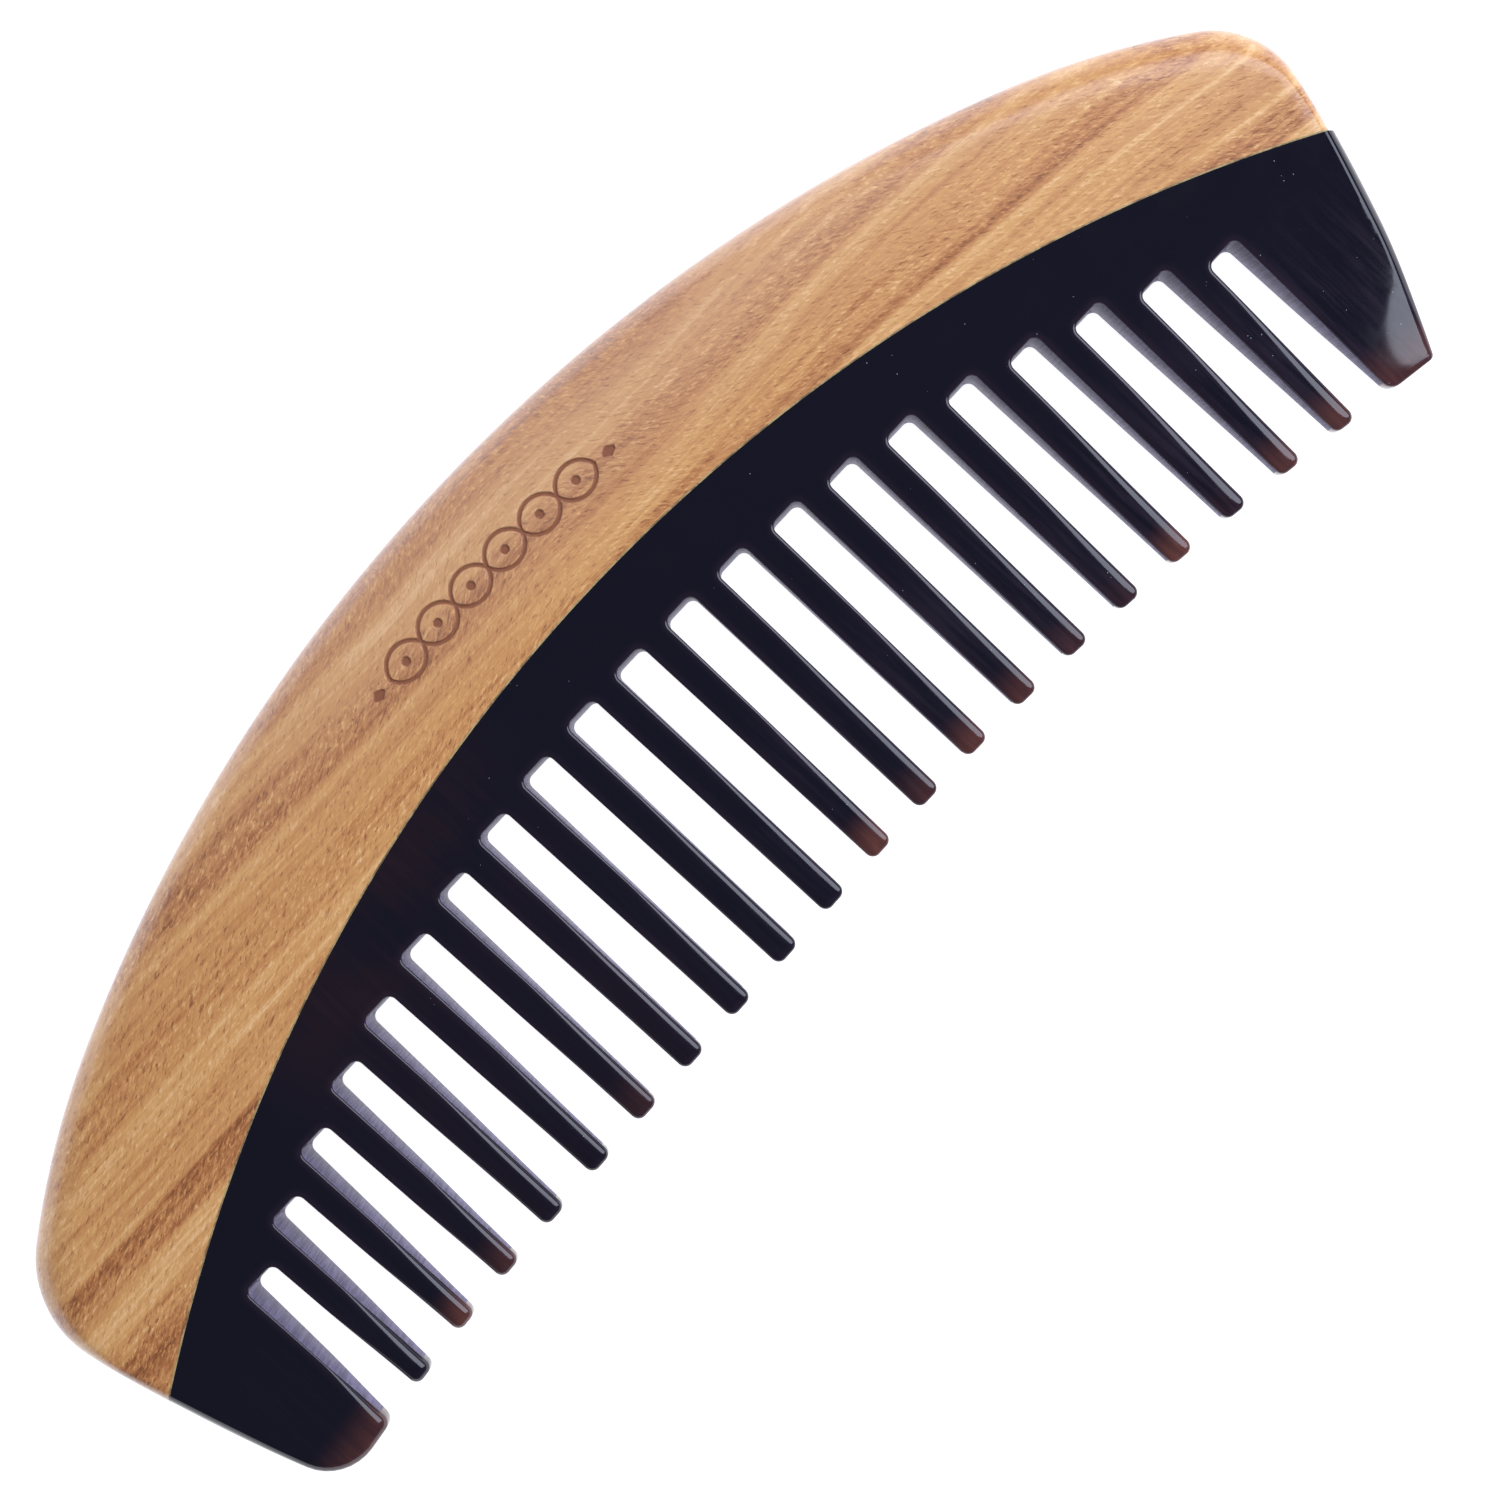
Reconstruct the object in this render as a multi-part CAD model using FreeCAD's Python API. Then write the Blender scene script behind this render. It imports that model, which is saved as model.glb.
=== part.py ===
import FreeCAD, Part

import math
import os

from FreeCAD import Vector

# A crescent comb: a wooden back glued to a plate of polished horn that carries the teeth.
# The comb lies flat. X runs along its length, Y points to the back, Z is up, and the origin is
# at the middle of its box on the surface it lies on. Millimetres throughout.

# Overall size
LENGTH = 165.1
HEIGHT = 59.5
THICKNESS = 8.5
MID_Z = THICKNESS / 2

# Outline: a long back arc, a shoulder and a corner at each end, and a side that leans inwards
BACK_RADIUS = 160.0
BACK_CENTRE_X = -1.2
SHOULDER_RADIUS = 80.0
LEFT_CORNER_RADIUS = 10.4
LEFT_CORNER_Y = 0.3
LEFT_SIDE_RADIUS = 161.0
LEFT_SIDE_LEAN = 11.5
RIGHT_CORNER_RADIUS = 9.1
RIGHT_CORNER_Y = -0.2
RIGHT_SIDE_RADIUS = 121.3
RIGHT_SIDE_LEAN = 13.9
EDGE_ROUND = 3.9

# Joint between wood and horn: an arc, with a tongue of the plate let into the back
JOINT_X = 1.8
JOINT_Y = -144.2
JOINT_RADIUS = 156.7
GLUE_GAP = 0.15
TONGUE_HEIGHT = 3.0
TONGUE_THICKNESS = 2.6
TONGUE_HALF_ANGLE = 25.0
TONGUE_ROOT = 1.0
PROUD_STEP = 0.4

# Faces: flat over the wood, rolling into a taper over the teeth that eases off near the tips.
# They are turned about an axis of their own, so lines of equal thickness are arcs across the teeth.
FACE_X = -0.1
FACE_Y = -164.0
FACE_RADIUS = 176.5
HALF_AT_JOINT = 3.85
TAPER_PER_SIDE = 0.09
KNEE_REACH = 27.5
TIP_TAPER_PER_SIDE = 0.04
ROLL_TANGENT = 3.5
ROLL_CLEARANCE = 0.02

# Teeth and the saw cuts between them. The cuts close up a little towards the comb's two ends.
SLOTS = 21
SLOT_PITCH = 6.623
SLOT_CLOSING = 0.00085
SLOT_WIDTH = 3.72
MIDDLE_SLOT_X = -0.38
ROOT_X = -0.55
ROOT_Y = -150.27
ROOT_RADIUS = 155.85
ROOT_CORNER = 0.8
TIP_X = -6.2
TIP_TOP = -23.85
TIP_RADIUS = 525.0
TIP_CORNER = 0.6

# Corners of the two wide guard teeth
LEFT_OUTER_CORNER = 5.0
LEFT_INNER_CORNER = 1.1
RIGHT_OUTER_CORNER = 0.7
RIGHT_INNER_CORNER = 1.3

# Bevel along the edges of each saw cut, and a broader one along the comb's two sides
BEVEL_AT_ROOT = 0.18
BEVEL_AT_TIP = 0.6
SIDE_BEVEL_AT_JOINT = 0.2
SIDE_BEVEL_AT_TIP = 1.1
SIDE_BEVEL_SPREAD = 1.8
SIDE_BEVEL_SECTIONS = 5

# Rounded end of the teeth, seen from the side
NOSE_START = 0.4
NOSE_LENGTH = 0.9
NOSE_HEIGHT = 0.95
NOSE_SLOPE = 0.6

# Engraved ornament: two interlaced waves with a dot in each eye and a lozenge at each end
WAVE_EYES = 6
WAVE_STEP = 4.6
WAVE_HEIGHT = 1.7
WAVE_LINE = 0.45
WAVE_DEPTH = 0.25
WAVE_RADIUS = 151.0
WAVE_MIDDLE_X = -3.0
DOT_RADIUS = 0.5
LOZENGE_LENGTH = 2.2
LOZENGE_WIDTH = 1.4
LOZENGE_GAP = 0.66

# Room around the comb for the tools that cut it
MARGIN = 20.0
FOOT_Y = -HEIGHT / 2 - 2
UP = Vector(0, 0, 1)


def polar(centre, radius, degrees, z=0.0):
    """The point at this angle on a circle."""
    angle = math.radians(degrees)
    return Vector(centre.x + radius * math.cos(angle), centre.y + radius * math.sin(angle), z)


def heading(start, end):
    """The angle in degrees of the line from start to end."""
    return math.degrees(math.atan2(end.y - start.y, end.x - start.x))


def arc(centre, radius, first, last, z=0.0):
    """An arc edge between two angles in degrees."""
    middle = (first + last) / 2
    points = [polar(centre, radius, angle, z) for angle in (first, middle, last)]
    return Part.Arc(*points).toShape()


def centre_between(first, first_distance, second, second_distance, side):
    """The point at these distances from two centres, on the given side (1 or -1) of their line."""
    along = second.sub(first)
    span = along.Length
    foot = (first_distance**2 - second_distance**2 + span**2) / (2 * span)
    rise = math.sqrt(max(first_distance**2 - foot**2, 0.0))
    unit = along.multiply(1 / span)
    normal = Vector(-unit.y, unit.x, 0)
    return first.add(unit.multiply(foot)).add(normal.multiply(side * rise))


def prism(edges, low, high):
    """A solid between two heights, from the edges of a closed outline at z = 0."""
    face = Part.Face(Part.Wire(Part.__sortEdges__(edges)))
    face.translate(Vector(0, 0, low))
    return face.extrude(Vector(0, 0, high - low))


def polygon(points):
    """A flat face from its corner points."""
    return Part.Face(Part.makePolygon(points + points[:1]))


def single(shape):
    """The one solid of a shape that a boolean left in a compound."""
    solids = shape.Solids
    assert len(solids) == 1, len(solids)
    return solids[0]


class Outline:
    """The centres and angles of the arcs round the comb, for a given step at its right side."""

    def __init__(self, right_step=0.0):
        self.back = Vector(BACK_CENTRE_X, HEIGHT / 2 - BACK_RADIUS, 0)
        self.left_corner = Vector(LEFT_CORNER_RADIUS - LENGTH / 2, LEFT_CORNER_Y, 0)
        right_end = LENGTH / 2 + right_step
        self.right_corner = Vector(right_end - RIGHT_CORNER_RADIUS, RIGHT_CORNER_Y, 0)
        inside = BACK_RADIUS - SHOULDER_RADIUS
        left_reach = SHOULDER_RADIUS - LEFT_CORNER_RADIUS
        right_reach = SHOULDER_RADIUS - RIGHT_CORNER_RADIUS
        self.left_shoulder = centre_between(self.back, inside, self.left_corner, left_reach, -1)
        self.right_shoulder = centre_between(self.back, inside, self.right_corner, right_reach, 1)
        left_run = LEFT_SIDE_RADIUS - LEFT_CORNER_RADIUS
        right_run = RIGHT_SIDE_RADIUS - RIGHT_CORNER_RADIUS
        self.left_side = polar(self.left_corner, left_run, LEFT_SIDE_LEAN)
        self.right_side = polar(self.right_corner, right_run, 180 - RIGHT_SIDE_LEAN)

    def edges(self):
        """The closed outline, down to a foot below the lowest tip."""
        back_left = heading(self.back, self.left_shoulder)
        back_right = heading(self.back, self.right_shoulder)
        left_turn = heading(self.left_shoulder, self.left_corner)
        right_turn = heading(self.right_shoulder, self.right_corner)
        left_drop = math.asin((self.left_side.y - FOOT_Y) / LEFT_SIDE_RADIUS)
        right_drop = math.asin((self.right_side.y - FOOT_Y) / RIGHT_SIDE_RADIUS)
        left_end = 180 + math.degrees(left_drop)
        right_end = -math.degrees(right_drop)
        left_foot = polar(self.left_side, LEFT_SIDE_RADIUS, left_end)
        right_foot = polar(self.right_side, RIGHT_SIDE_RADIUS, right_end)
        return [
            arc(self.back, BACK_RADIUS, back_right, back_left),
            arc(self.left_shoulder, SHOULDER_RADIUS, back_left, left_turn),
            arc(self.left_corner, LEFT_CORNER_RADIUS, left_turn, 180 + LEFT_SIDE_LEAN),
            arc(self.left_side, LEFT_SIDE_RADIUS, 180 + LEFT_SIDE_LEAN, left_end),
            Part.makeLine(left_foot, right_foot),
            arc(self.right_side, RIGHT_SIDE_RADIUS, right_end, -RIGHT_SIDE_LEAN),
            arc(self.right_corner, RIGHT_CORNER_RADIUS, -RIGHT_SIDE_LEAN, right_turn),
            arc(self.right_shoulder, SHOULDER_RADIUS, right_turn, back_right),
        ]


def rounded_blank(right_step=0.0):
    """A flat board of the comb's outline with its perimeter rounded over on both faces."""
    board = prism(Outline(right_step).edges(), 0, THICKNESS)
    rim = []
    for edge in board.Edges:
        box = edge.BoundBox
        level = box.ZLength < 0.001
        if level and box.YMax > FOOT_Y + 0.01:
            rim.append(edge)
    return single(board.makeFillet(EDGE_ROUND, rim))


def half_thickness(reach):
    """Half the thickness of the tapered faces at this distance from the joint towards the tips."""
    knee = HALF_AT_JOINT - TAPER_PER_SIDE * KNEE_REACH
    if reach < KNEE_REACH:
        return HALF_AT_JOINT - TAPER_PER_SIDE * reach
    return knee - TIP_TAPER_PER_SIDE * (reach - KNEE_REACH)


def face_reach(x, y):
    """The distance that sets the thickness at a point of the plan."""
    return FACE_RADIUS - math.hypot(x - FACE_X, y - FACE_Y)


def turned(face):
    """A solid turned about the faces' axis from a face in the XZ plane beside it."""
    sweep = 90.0
    base = Vector(FACE_X, FACE_Y, 0)
    face.rotate(base, UP, 90 - sweep / 2)
    return face.revolve(base, UP, sweep)


def section_point(reach, half):
    """A point of the comb's cross-section, from its distance and its height over the middle."""
    return Vector(FACE_X + FACE_RADIUS - reach, FACE_Y, MID_Z + half)


def taper_space():
    """The space between the two tapered faces, from just behind the joint to past the tips."""
    start = -ROLL_TANGENT / 2
    end = HEIGHT - MARGIN / 2
    corners = []
    for side in (1, -1):
        stations = [start, KNEE_REACH, end] if side > 0 else [end, KNEE_REACH, start]
        corners += [section_point(reach, side * half_thickness(reach)) for reach in stations]
    return turned(polygon(corners))


def back_space():
    """The space that leaves the board's faces flat, then rolls down to the taper at the joint.

    It clears the flat faces a little, so that its roll crosses them instead of touching them.
    """
    top = MID_Z + ROLL_CLEARANCE
    slope = math.atan(TAPER_PER_SIDE)
    roll_radius = ROLL_TANGENT / math.tan(slope / 2)
    roll_middle = (HALF_AT_JOINT - top) / TAPER_PER_SIDE
    flat_end = roll_middle - ROLL_TANGENT
    taper_start = roll_middle + ROLL_TANGENT * math.cos(slope)
    arc_reach = flat_end + roll_radius * math.sin(slope / 2)
    arc_half = top - roll_radius * (1 - math.cos(slope / 2))
    inner = MARGIN / 2
    outer = -2 * MARGIN
    edges = []
    for side in (1, -1):
        flat_start = section_point(outer, side * top)
        roll_start = section_point(flat_end, side * top)
        roll_end = section_point(taper_start, side * half_thickness(taper_start))
        edges += [
            Part.makeLine(flat_start, roll_start),
            Part.Arc(roll_start, section_point(arc_reach, side * arc_half), roll_end).toShape(),
            Part.makeLine(roll_end, section_point(inner, side * half_thickness(inner))),
        ]
    for reach, half in ((outer, top), (inner, half_thickness(inner))):
        edges.append(Part.makeLine(section_point(reach, half), section_point(reach, -half)))
    return turned(Part.Face(Part.Wire(Part.__sortEdges__(edges))))


def joint_side(offset):
    """Everything on the teeth's side of the joint, moved towards the back by an offset."""
    low = -MARGIN
    height = THICKNESS + 2 * MARGIN
    return Part.makeCylinder(JOINT_RADIUS + offset, height, Vector(JOINT_X, JOINT_Y, low), UP)


def tongue(offset):
    """A stopped ridge along the joint, grown on every side by an offset."""
    half = TONGUE_THICKNESS / 2 + offset
    inner = JOINT_RADIUS - TONGUE_ROOT
    outer = JOINT_RADIUS + TONGUE_HEIGHT + offset
    grow = math.degrees(offset / JOINT_RADIUS)
    reach = TONGUE_HALF_ANGLE + grow
    base = Vector(JOINT_X, JOINT_Y, 0)
    corners = [
        Vector(JOINT_X + inner, JOINT_Y, MID_Z - half),
        Vector(JOINT_X + outer, JOINT_Y, MID_Z - half),
        Vector(JOINT_X + outer, JOINT_Y, MID_Z + half),
        Vector(JOINT_X + inner, JOINT_Y, MID_Z + half),
    ]
    face = polygon(corners)
    face.rotate(base, UP, 90 - reach)
    return face.revolve(base, UP, 2 * reach)


def slot_centres():
    """Where the saw cuts lie along the comb."""
    numbers = [index - (SLOTS - 1) / 2 for index in range(SLOTS)]
    return [MIDDLE_SLOT_X + SLOT_PITCH * n - SLOT_CLOSING * n**3 for n in numbers]


def root_level(x):
    """How far towards the back the saw cut at x reaches."""
    return ROOT_Y + math.sqrt(ROOT_RADIUS**2 - (x - ROOT_X) ** 2)


def tip_level(x):
    """Where the line of the tooth tips lies at x."""
    return TIP_TOP - TIP_RADIUS + math.sqrt(TIP_RADIUS**2 - (x - TIP_X) ** 2)


def slot_cut(x):
    """One saw cut: straight walls and a square root with rounded corners."""
    half = SLOT_WIDTH / 2
    low = -HEIGHT / 2 - MARGIN
    depth = root_level(x) - low
    cut = Part.makeBox(SLOT_WIDTH, depth, THICKNESS + 2, Vector(x - half, low, -1))
    corners = [e for e in cut.Edges if e.BoundBox.ZLength > THICKNESS and e.BoundBox.YMin > low + 1]
    return cut.makeFillet(ROOT_CORNER, corners)


def bevel_cut(x, side):
    """A V-shaped trough over a saw cut that bevels the two edges beside it, wider to the tips."""
    root = root_level(x)
    tip = tip_level(x) - 1
    run = root - tip
    knee = FACE_Y + math.sqrt((FACE_RADIUS - KNEE_REACH) ** 2 - (x - FACE_X) ** 2)
    stations = [root] + ([knee] if tip < knee < root else []) + [tip]
    rise = MID_Z + 2
    sections = []
    for y in stations:
        bevel = BEVEL_AT_ROOT + (BEVEL_AT_TIP - BEVEL_AT_ROOT) * (root - y) / run
        apex = half_thickness(face_reach(x, y)) - bevel - SLOT_WIDTH / 2
        corners = [
            Vector(x, y, MID_Z + side * apex),
            Vector(x + rise, y, MID_Z + side * (apex + rise)),
            Vector(x - rise, y, MID_Z + side * (apex + rise)),
        ]
        sections.append(Part.makePolygon(corners + corners[:1]))
    return Part.makeLoft(sections, True, True)


def side_bevel_cut(centre, radius, start, end, side):
    """A cut that bevels one face's edge along a side of the comb, between two angles."""
    sections = []
    for number in range(SIDE_BEVEL_SECTIONS):
        share = number / (SIDE_BEVEL_SECTIONS - 1)
        angle = start + (end - start) * share
        wall = polar(centre, radius, angle)
        bevel = SIDE_BEVEL_AT_JOINT + (SIDE_BEVEL_AT_TIP - SIDE_BEVEL_AT_JOINT) * share
        edge = half_thickness(face_reach(wall.x, wall.y)) - bevel
        corners = []
        for out, rise in ((1, -1), (-4, 4), (4, 4)):
            point = polar(centre, radius + out * SIDE_BEVEL_SPREAD, angle)
            corners.append(Vector(point.x, point.y, MID_Z + side * (edge + rise)))
        sections.append(Part.makePolygon(corners + corners[:1]))
    return Part.makeLoft(sections, True, False)


def side_bevels():
    """The bevel cuts along both sides of the comb, on both faces, from the joint to the tips."""
    outline = Outline(PROUD_STEP)
    joint = Vector(JOINT_X, JOINT_Y, 0)
    cuts = []
    for centre, radius, straight, turn in (
        (outline.left_side, LEFT_SIDE_RADIUS, 180, 1),
        (outline.right_side, RIGHT_SIDE_RADIUS, 0, -1),
    ):
        meeting = centre_between(joint, JOINT_RADIUS, centre, radius, turn)
        start = straight + turn * math.degrees(math.asin((centre.y - meeting.y) / radius))
        end = straight + turn * math.degrees(math.asin((centre.y - FOOT_Y) / radius))
        for side in (1, -1):
            cuts.append(side_bevel_cut(centre, radius, start, end, side))
    return cuts


def tip_trim():
    """The waste below the line of the tooth tips."""
    left = -LENGTH / 2
    right = LENGTH / 2 + PROUD_STEP
    middle = (left + right) / 2
    low = -HEIGHT / 2 - MARGIN
    start = Vector(left, tip_level(left), 0)
    end = Vector(right, tip_level(right), 0)
    edges = [
        Part.Arc(start, Vector(middle, tip_level(middle), 0), end).toShape(),
        Part.makeLine(end, Vector(right, low, 0)),
        Part.makeLine(Vector(right, low, 0), Vector(left, low, 0)),
        Part.makeLine(Vector(left, low, 0), start),
    ]
    return prism(edges, -1, THICKNESS + 1)


def nose_face(side):
    """What is cut away above (side 1) or below (side -1) the rounded end of a tooth.

    It lies in the XZ plane with the tip's end at x = 0 and the tooth towards +x.
    """
    clear = MID_Z + 1
    far = NOSE_LENGTH + (clear - NOSE_HEIGHT) / NOSE_SLOPE
    start = Vector(0, 0, side * NOSE_START)
    bend = math.sqrt(0.5)
    middle_z = side * (NOSE_START + (NOSE_HEIGHT - NOSE_START) * bend)
    middle = Vector(NOSE_LENGTH * (1 - bend), 0, middle_z)
    end = Vector(NOSE_LENGTH, 0, side * NOSE_HEIGHT)
    top = Vector(far, 0, side * clear)
    back = Vector(-1, 0, side * clear)
    low = Vector(-1, 0, side * NOSE_START)
    edges = [
        Part.Arc(start, middle, end).toShape(),
        Part.makeLine(end, top),
        Part.makeLine(top, back),
        Part.makeLine(back, low),
        Part.makeLine(low, start),
    ]
    return Part.Face(Part.Wire(edges))


def tip_noses():
    """The cuts that round the ends of the teeth on both faces."""
    centre_y = TIP_TOP - TIP_RADIUS
    base = Vector(TIP_X, centre_y, 0)
    sweep = math.degrees(math.asin((LENGTH / 2 - TIP_X + 1) / TIP_RADIUS))
    cuts = []
    for side in (1, -1):
        face = nose_face(side)
        face.translate(Vector(TIP_X + TIP_RADIUS, centre_y, MID_Z))
        face.rotate(base, UP, 90 - sweep)
        cuts.append(face.revolve(base, UP, 2 * sweep))
    return cuts


def tip_corners():
    """Where the corners at the teeth's ends lie along the comb, by the radius that rounds them."""
    walls = [x + side * SLOT_WIDTH / 2 for x in slot_centres() for side in (-1, 1)]
    return {
        TIP_CORNER: walls[1:-1],
        LEFT_OUTER_CORNER: [-LENGTH / 2],
        LEFT_INNER_CORNER: [walls[0]],
        RIGHT_INNER_CORNER: [walls[-1]],
        RIGHT_OUTER_CORNER: [LENGTH / 2],
    }


def plate_plan():
    """The horn plate's outline with its teeth, as a straight prism of full thickness."""
    plan = prism(Outline(PROUD_STEP).edges(), 0, THICKNESS)
    plan = single(plan.cut([tip_trim()] + [slot_cut(x) for x in slot_centres()]))
    for radius, places in tip_corners().items():
        plan = plan.makeFillet(radius, [upright_edge(plan, x) for x in places])
    return plan


def upright_edge(solid, x):
    """The upright edge of a solid that is nearest to the line of the tooth tips at x."""
    wanted = Vector(x, tip_level(x), MID_Z)
    uprights = [e for e in solid.Edges if e.BoundBox.ZLength > THICKNESS - 0.1]
    return min(uprights, key=lambda e: e.BoundBox.Center.sub(wanted).Length)


def horn_tooth_plate():
    """The plate of polished horn with its teeth, tapered faces, bevels and hidden tongue."""
    plate = single(plate_plan().common(joint_side(-GLUE_GAP / 2)))
    plate = single(plate.common(taper_space()))
    plate = single(plate.common(rounded_blank(PROUD_STEP)))
    bevels = [bevel_cut(x, side) for x in slot_centres() for side in (1, -1)]
    plate = single(plate.cut(bevels + tip_noses() + side_bevels()))
    return single(plate.fuse(tongue(0)))


def wave_frame(shape, position):
    """Moves an ornament piece from the origin to its place along the ornament's arc."""
    turn = -math.degrees(position / WAVE_RADIUS)
    centre = Vector(WAVE_MIDDLE_X, HEIGHT / 2 - BACK_RADIUS, 0)
    shape.rotate(Vector(), UP, turn)
    shape.translate(polar(centre, WAVE_RADIUS, 90 + turn))
    return shape


def half_wave(up):
    """One bow of a wave: a ring sector from one crossing to the next."""
    chord = WAVE_STEP
    radius = (chord**2 / 4 + WAVE_HEIGHT**2) / (2 * WAVE_HEIGHT)
    centre = Vector(0, up * (WAVE_HEIGHT - radius), 0)
    spread = math.degrees(math.asin(chord / 2 / radius))
    first = up * 90 - spread
    last = up * 90 + spread
    inner = radius - WAVE_LINE / 2
    outer = radius + WAVE_LINE / 2
    edges = [
        arc(centre, inner, first, last),
        Part.makeLine(polar(centre, inner, last), polar(centre, outer, last)),
        arc(centre, outer, last, first),
        Part.makeLine(polar(centre, outer, first), polar(centre, inner, first)),
    ]
    return Part.Face(Part.Wire(edges))


def ornament():
    """The cutters that engrave the ornament into the upper face."""
    faces = []
    for eye in range(WAVE_EYES):
        position = (eye - (WAVE_EYES - 1) / 2) * WAVE_STEP
        for up in (1, -1):
            faces.append(wave_frame(half_wave(up), position))
        dot = Part.Face(Part.Wire([Part.makeCircle(DOT_RADIUS)]))
        faces.append(wave_frame(dot, position))
    end = WAVE_EYES * WAVE_STEP / 2 + LOZENGE_GAP + LOZENGE_LENGTH / 2
    for side in (-1, 1):
        corners = [
            Vector(-LOZENGE_LENGTH / 2, 0, 0),
            Vector(0, -LOZENGE_WIDTH / 2, 0),
            Vector(LOZENGE_LENGTH / 2, 0, 0),
            Vector(0, LOZENGE_WIDTH / 2, 0),
        ]
        faces.append(wave_frame(polygon(corners), side * end))
    cutters = []
    for face in faces:
        face.translate(Vector(0, 0, THICKNESS - WAVE_DEPTH))
        cutters.append(face.extrude(Vector(0, 0, 2 * WAVE_DEPTH)))
    return cutters


def wood_back():
    """The wooden back with rounded edges, a stopped groove for the tongue and the ornament."""
    back = single(rounded_blank().cut(joint_side(GLUE_GAP / 2)))
    back = single(back.common(back_space()))
    back = single(back.cut(tongue(GLUE_GAP)))
    return single(back.cut(ornament()))


def glue_film():
    """The thin film of adhesive that fills the joint, round the tongue and out to the faces."""
    space = joint_side(GLUE_GAP / 2).cut(joint_side(-GLUE_GAP / 2))
    film = single(space.common(taper_space()))
    film = single(film.common(rounded_blank()))
    return single(film.fuse(tongue(GLUE_GAP)).cut(joint_side(-GLUE_GAP / 2)).cut(tongue(0)))


PARTS = {
    "wood_back": wood_back,
    "horn_tooth_plate": horn_tooth_plate,
    "glue_film": glue_film,
}

os.makedirs("parts", exist_ok=True)
for name, build in PARTS.items():
    shape = build()
    assert shape.isValid(), name
    shape.exportStep("parts/" + name + ".step")
    box = shape.optimalBoundingBox()
    print(name, "volume", round(shape.Volume, 1))
    for axis, low, high in (("X", box.XMin, box.XMax), ("Y", box.YMin, box.YMax), ("Z", box.ZMin, box.ZMax)):
        print("   ", axis, round(low, 3), round(high, 3))
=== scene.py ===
import math

import bmesh
import bpy
import numpy as np
from mathutils import Matrix, Vector, kdtree
from mathutils.geometry import delaunay_2d_cdt


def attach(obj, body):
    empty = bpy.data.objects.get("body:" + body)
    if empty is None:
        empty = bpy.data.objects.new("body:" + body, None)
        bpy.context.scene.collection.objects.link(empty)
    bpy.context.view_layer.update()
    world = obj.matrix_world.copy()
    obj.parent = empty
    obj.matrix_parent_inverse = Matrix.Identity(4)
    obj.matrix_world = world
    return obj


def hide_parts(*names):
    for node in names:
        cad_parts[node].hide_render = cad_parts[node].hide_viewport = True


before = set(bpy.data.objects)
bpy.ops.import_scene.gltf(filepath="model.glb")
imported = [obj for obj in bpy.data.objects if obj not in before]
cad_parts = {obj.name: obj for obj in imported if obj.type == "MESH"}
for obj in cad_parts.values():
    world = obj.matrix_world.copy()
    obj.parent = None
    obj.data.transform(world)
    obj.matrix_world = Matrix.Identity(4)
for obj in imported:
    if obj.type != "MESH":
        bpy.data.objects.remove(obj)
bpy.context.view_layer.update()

# A crescent comb lying flat: X along its length, +Y to the back, Z up.
# The shape code works in millimetres and scales the finished meshes to metres.
MM = 0.001

# ---------------- driving dimensions, as in CAD
LENGTH = 165.1
HEIGHT = 59.5
HALF_THICKNESS = 4.25

BACK_RADIUS = 160.0
BACK_CENTRE_X = -1.2
SHOULDER_RADIUS = 80.0
LEFT_CORNER_RADIUS = 10.4
LEFT_CORNER_Y = 0.3
LEFT_SIDE_RADIUS = 161.0
LEFT_SIDE_LEAN = 11.5
RIGHT_CORNER_RADIUS = 9.1
RIGHT_CORNER_Y = -0.2
RIGHT_SIDE_RADIUS = 121.3
RIGHT_SIDE_LEAN = 13.9

JOINT = np.array((1.8, -144.2))
JOINT_RADIUS = 156.7
GLUE_GAP = 0.15
PROUD_STEP = 0.4

FACE_CENTRE = np.array((-0.1, -164.0))
FACE_RADIUS = 176.5
HALF_AT_JOINT = 3.85
TAPER = 0.09
KNEE_REACH = 27.5
TIP_TAPER = 0.04
# How softly the flat rolls into the taper and the taper into the tips, in square millimetres
FACE_SOFTNESS = 0.0049
KNEE_SOFTNESS = 0.003

SLOTS = 21
SLOT_PITCH = 6.623
SLOT_CLOSING = 0.00085
SLOT_WIDTH = 3.72
MIDDLE_SLOT_X = -0.38
ROOT_CENTRE = np.array((-0.55, -150.27))
ROOT_RADIUS = 155.85
ROOT_CORNER = 0.8
# Beyond these places along X the line of the roots runs level.
ROOTS_LEFT = -67.0
ROOTS_RIGHT = 66.0
TIP_X = -6.2
TIP_TOP = -23.85
TIP_RADIUS = 525.0
TIP_CORNER = 0.85
LEFT_OUTER_CORNER = 5.0
LEFT_INNER_CORNER = 1.1
RIGHT_OUTER_CORNER = 0.7
RIGHT_INNER_CORNER = 1.3
# Places along X on the ends of the two guard teeth
LEFT_GUARD_X = -75.0
RIGHT_GUARD_X = 74.0

# ---------------- edge rounding
# A width is how far the rounding reaches in from the edge, and a floor is the share of the
# thickness that is left at the edge itself.
BACK_ROUND = 4.6
SIDE_ROUND = 1.4
GUARD_ROUND = 1.0
TOOTH_ROUND_AT_ROOT = 0.38
TOOTH_ROUND_AT_TIP = 1.25
TOOTH_ROUND_START = 0.33
TOOTH_START_SPREAD = 0.09
TOOTH_START_TURN = 2.4
TOOTH_START_TILT = 0.1
TOOTH_GROWTH_POWER = 0.8
OUTER_FLOOR = 0.1
SIDE_FLOOR = 0.5
SIDE_FLOOR_START = 0.3
SIDE_FLOOR_END = 16.0
ROOT_FLOOR = 0.94
TIP_FLOOR = 0.6
TIP_FLOOR_TILT = 0.0016
LIP_WIDTH = 0.25
LIP_DEPTH = 0.35
# Levels in Y between which the rounding narrows, from the back to the side and on to the guard
SIDE_LEVELS = (8.0, -6.0)
GUARD_LEVELS = (-12.0, -24.0)

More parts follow.
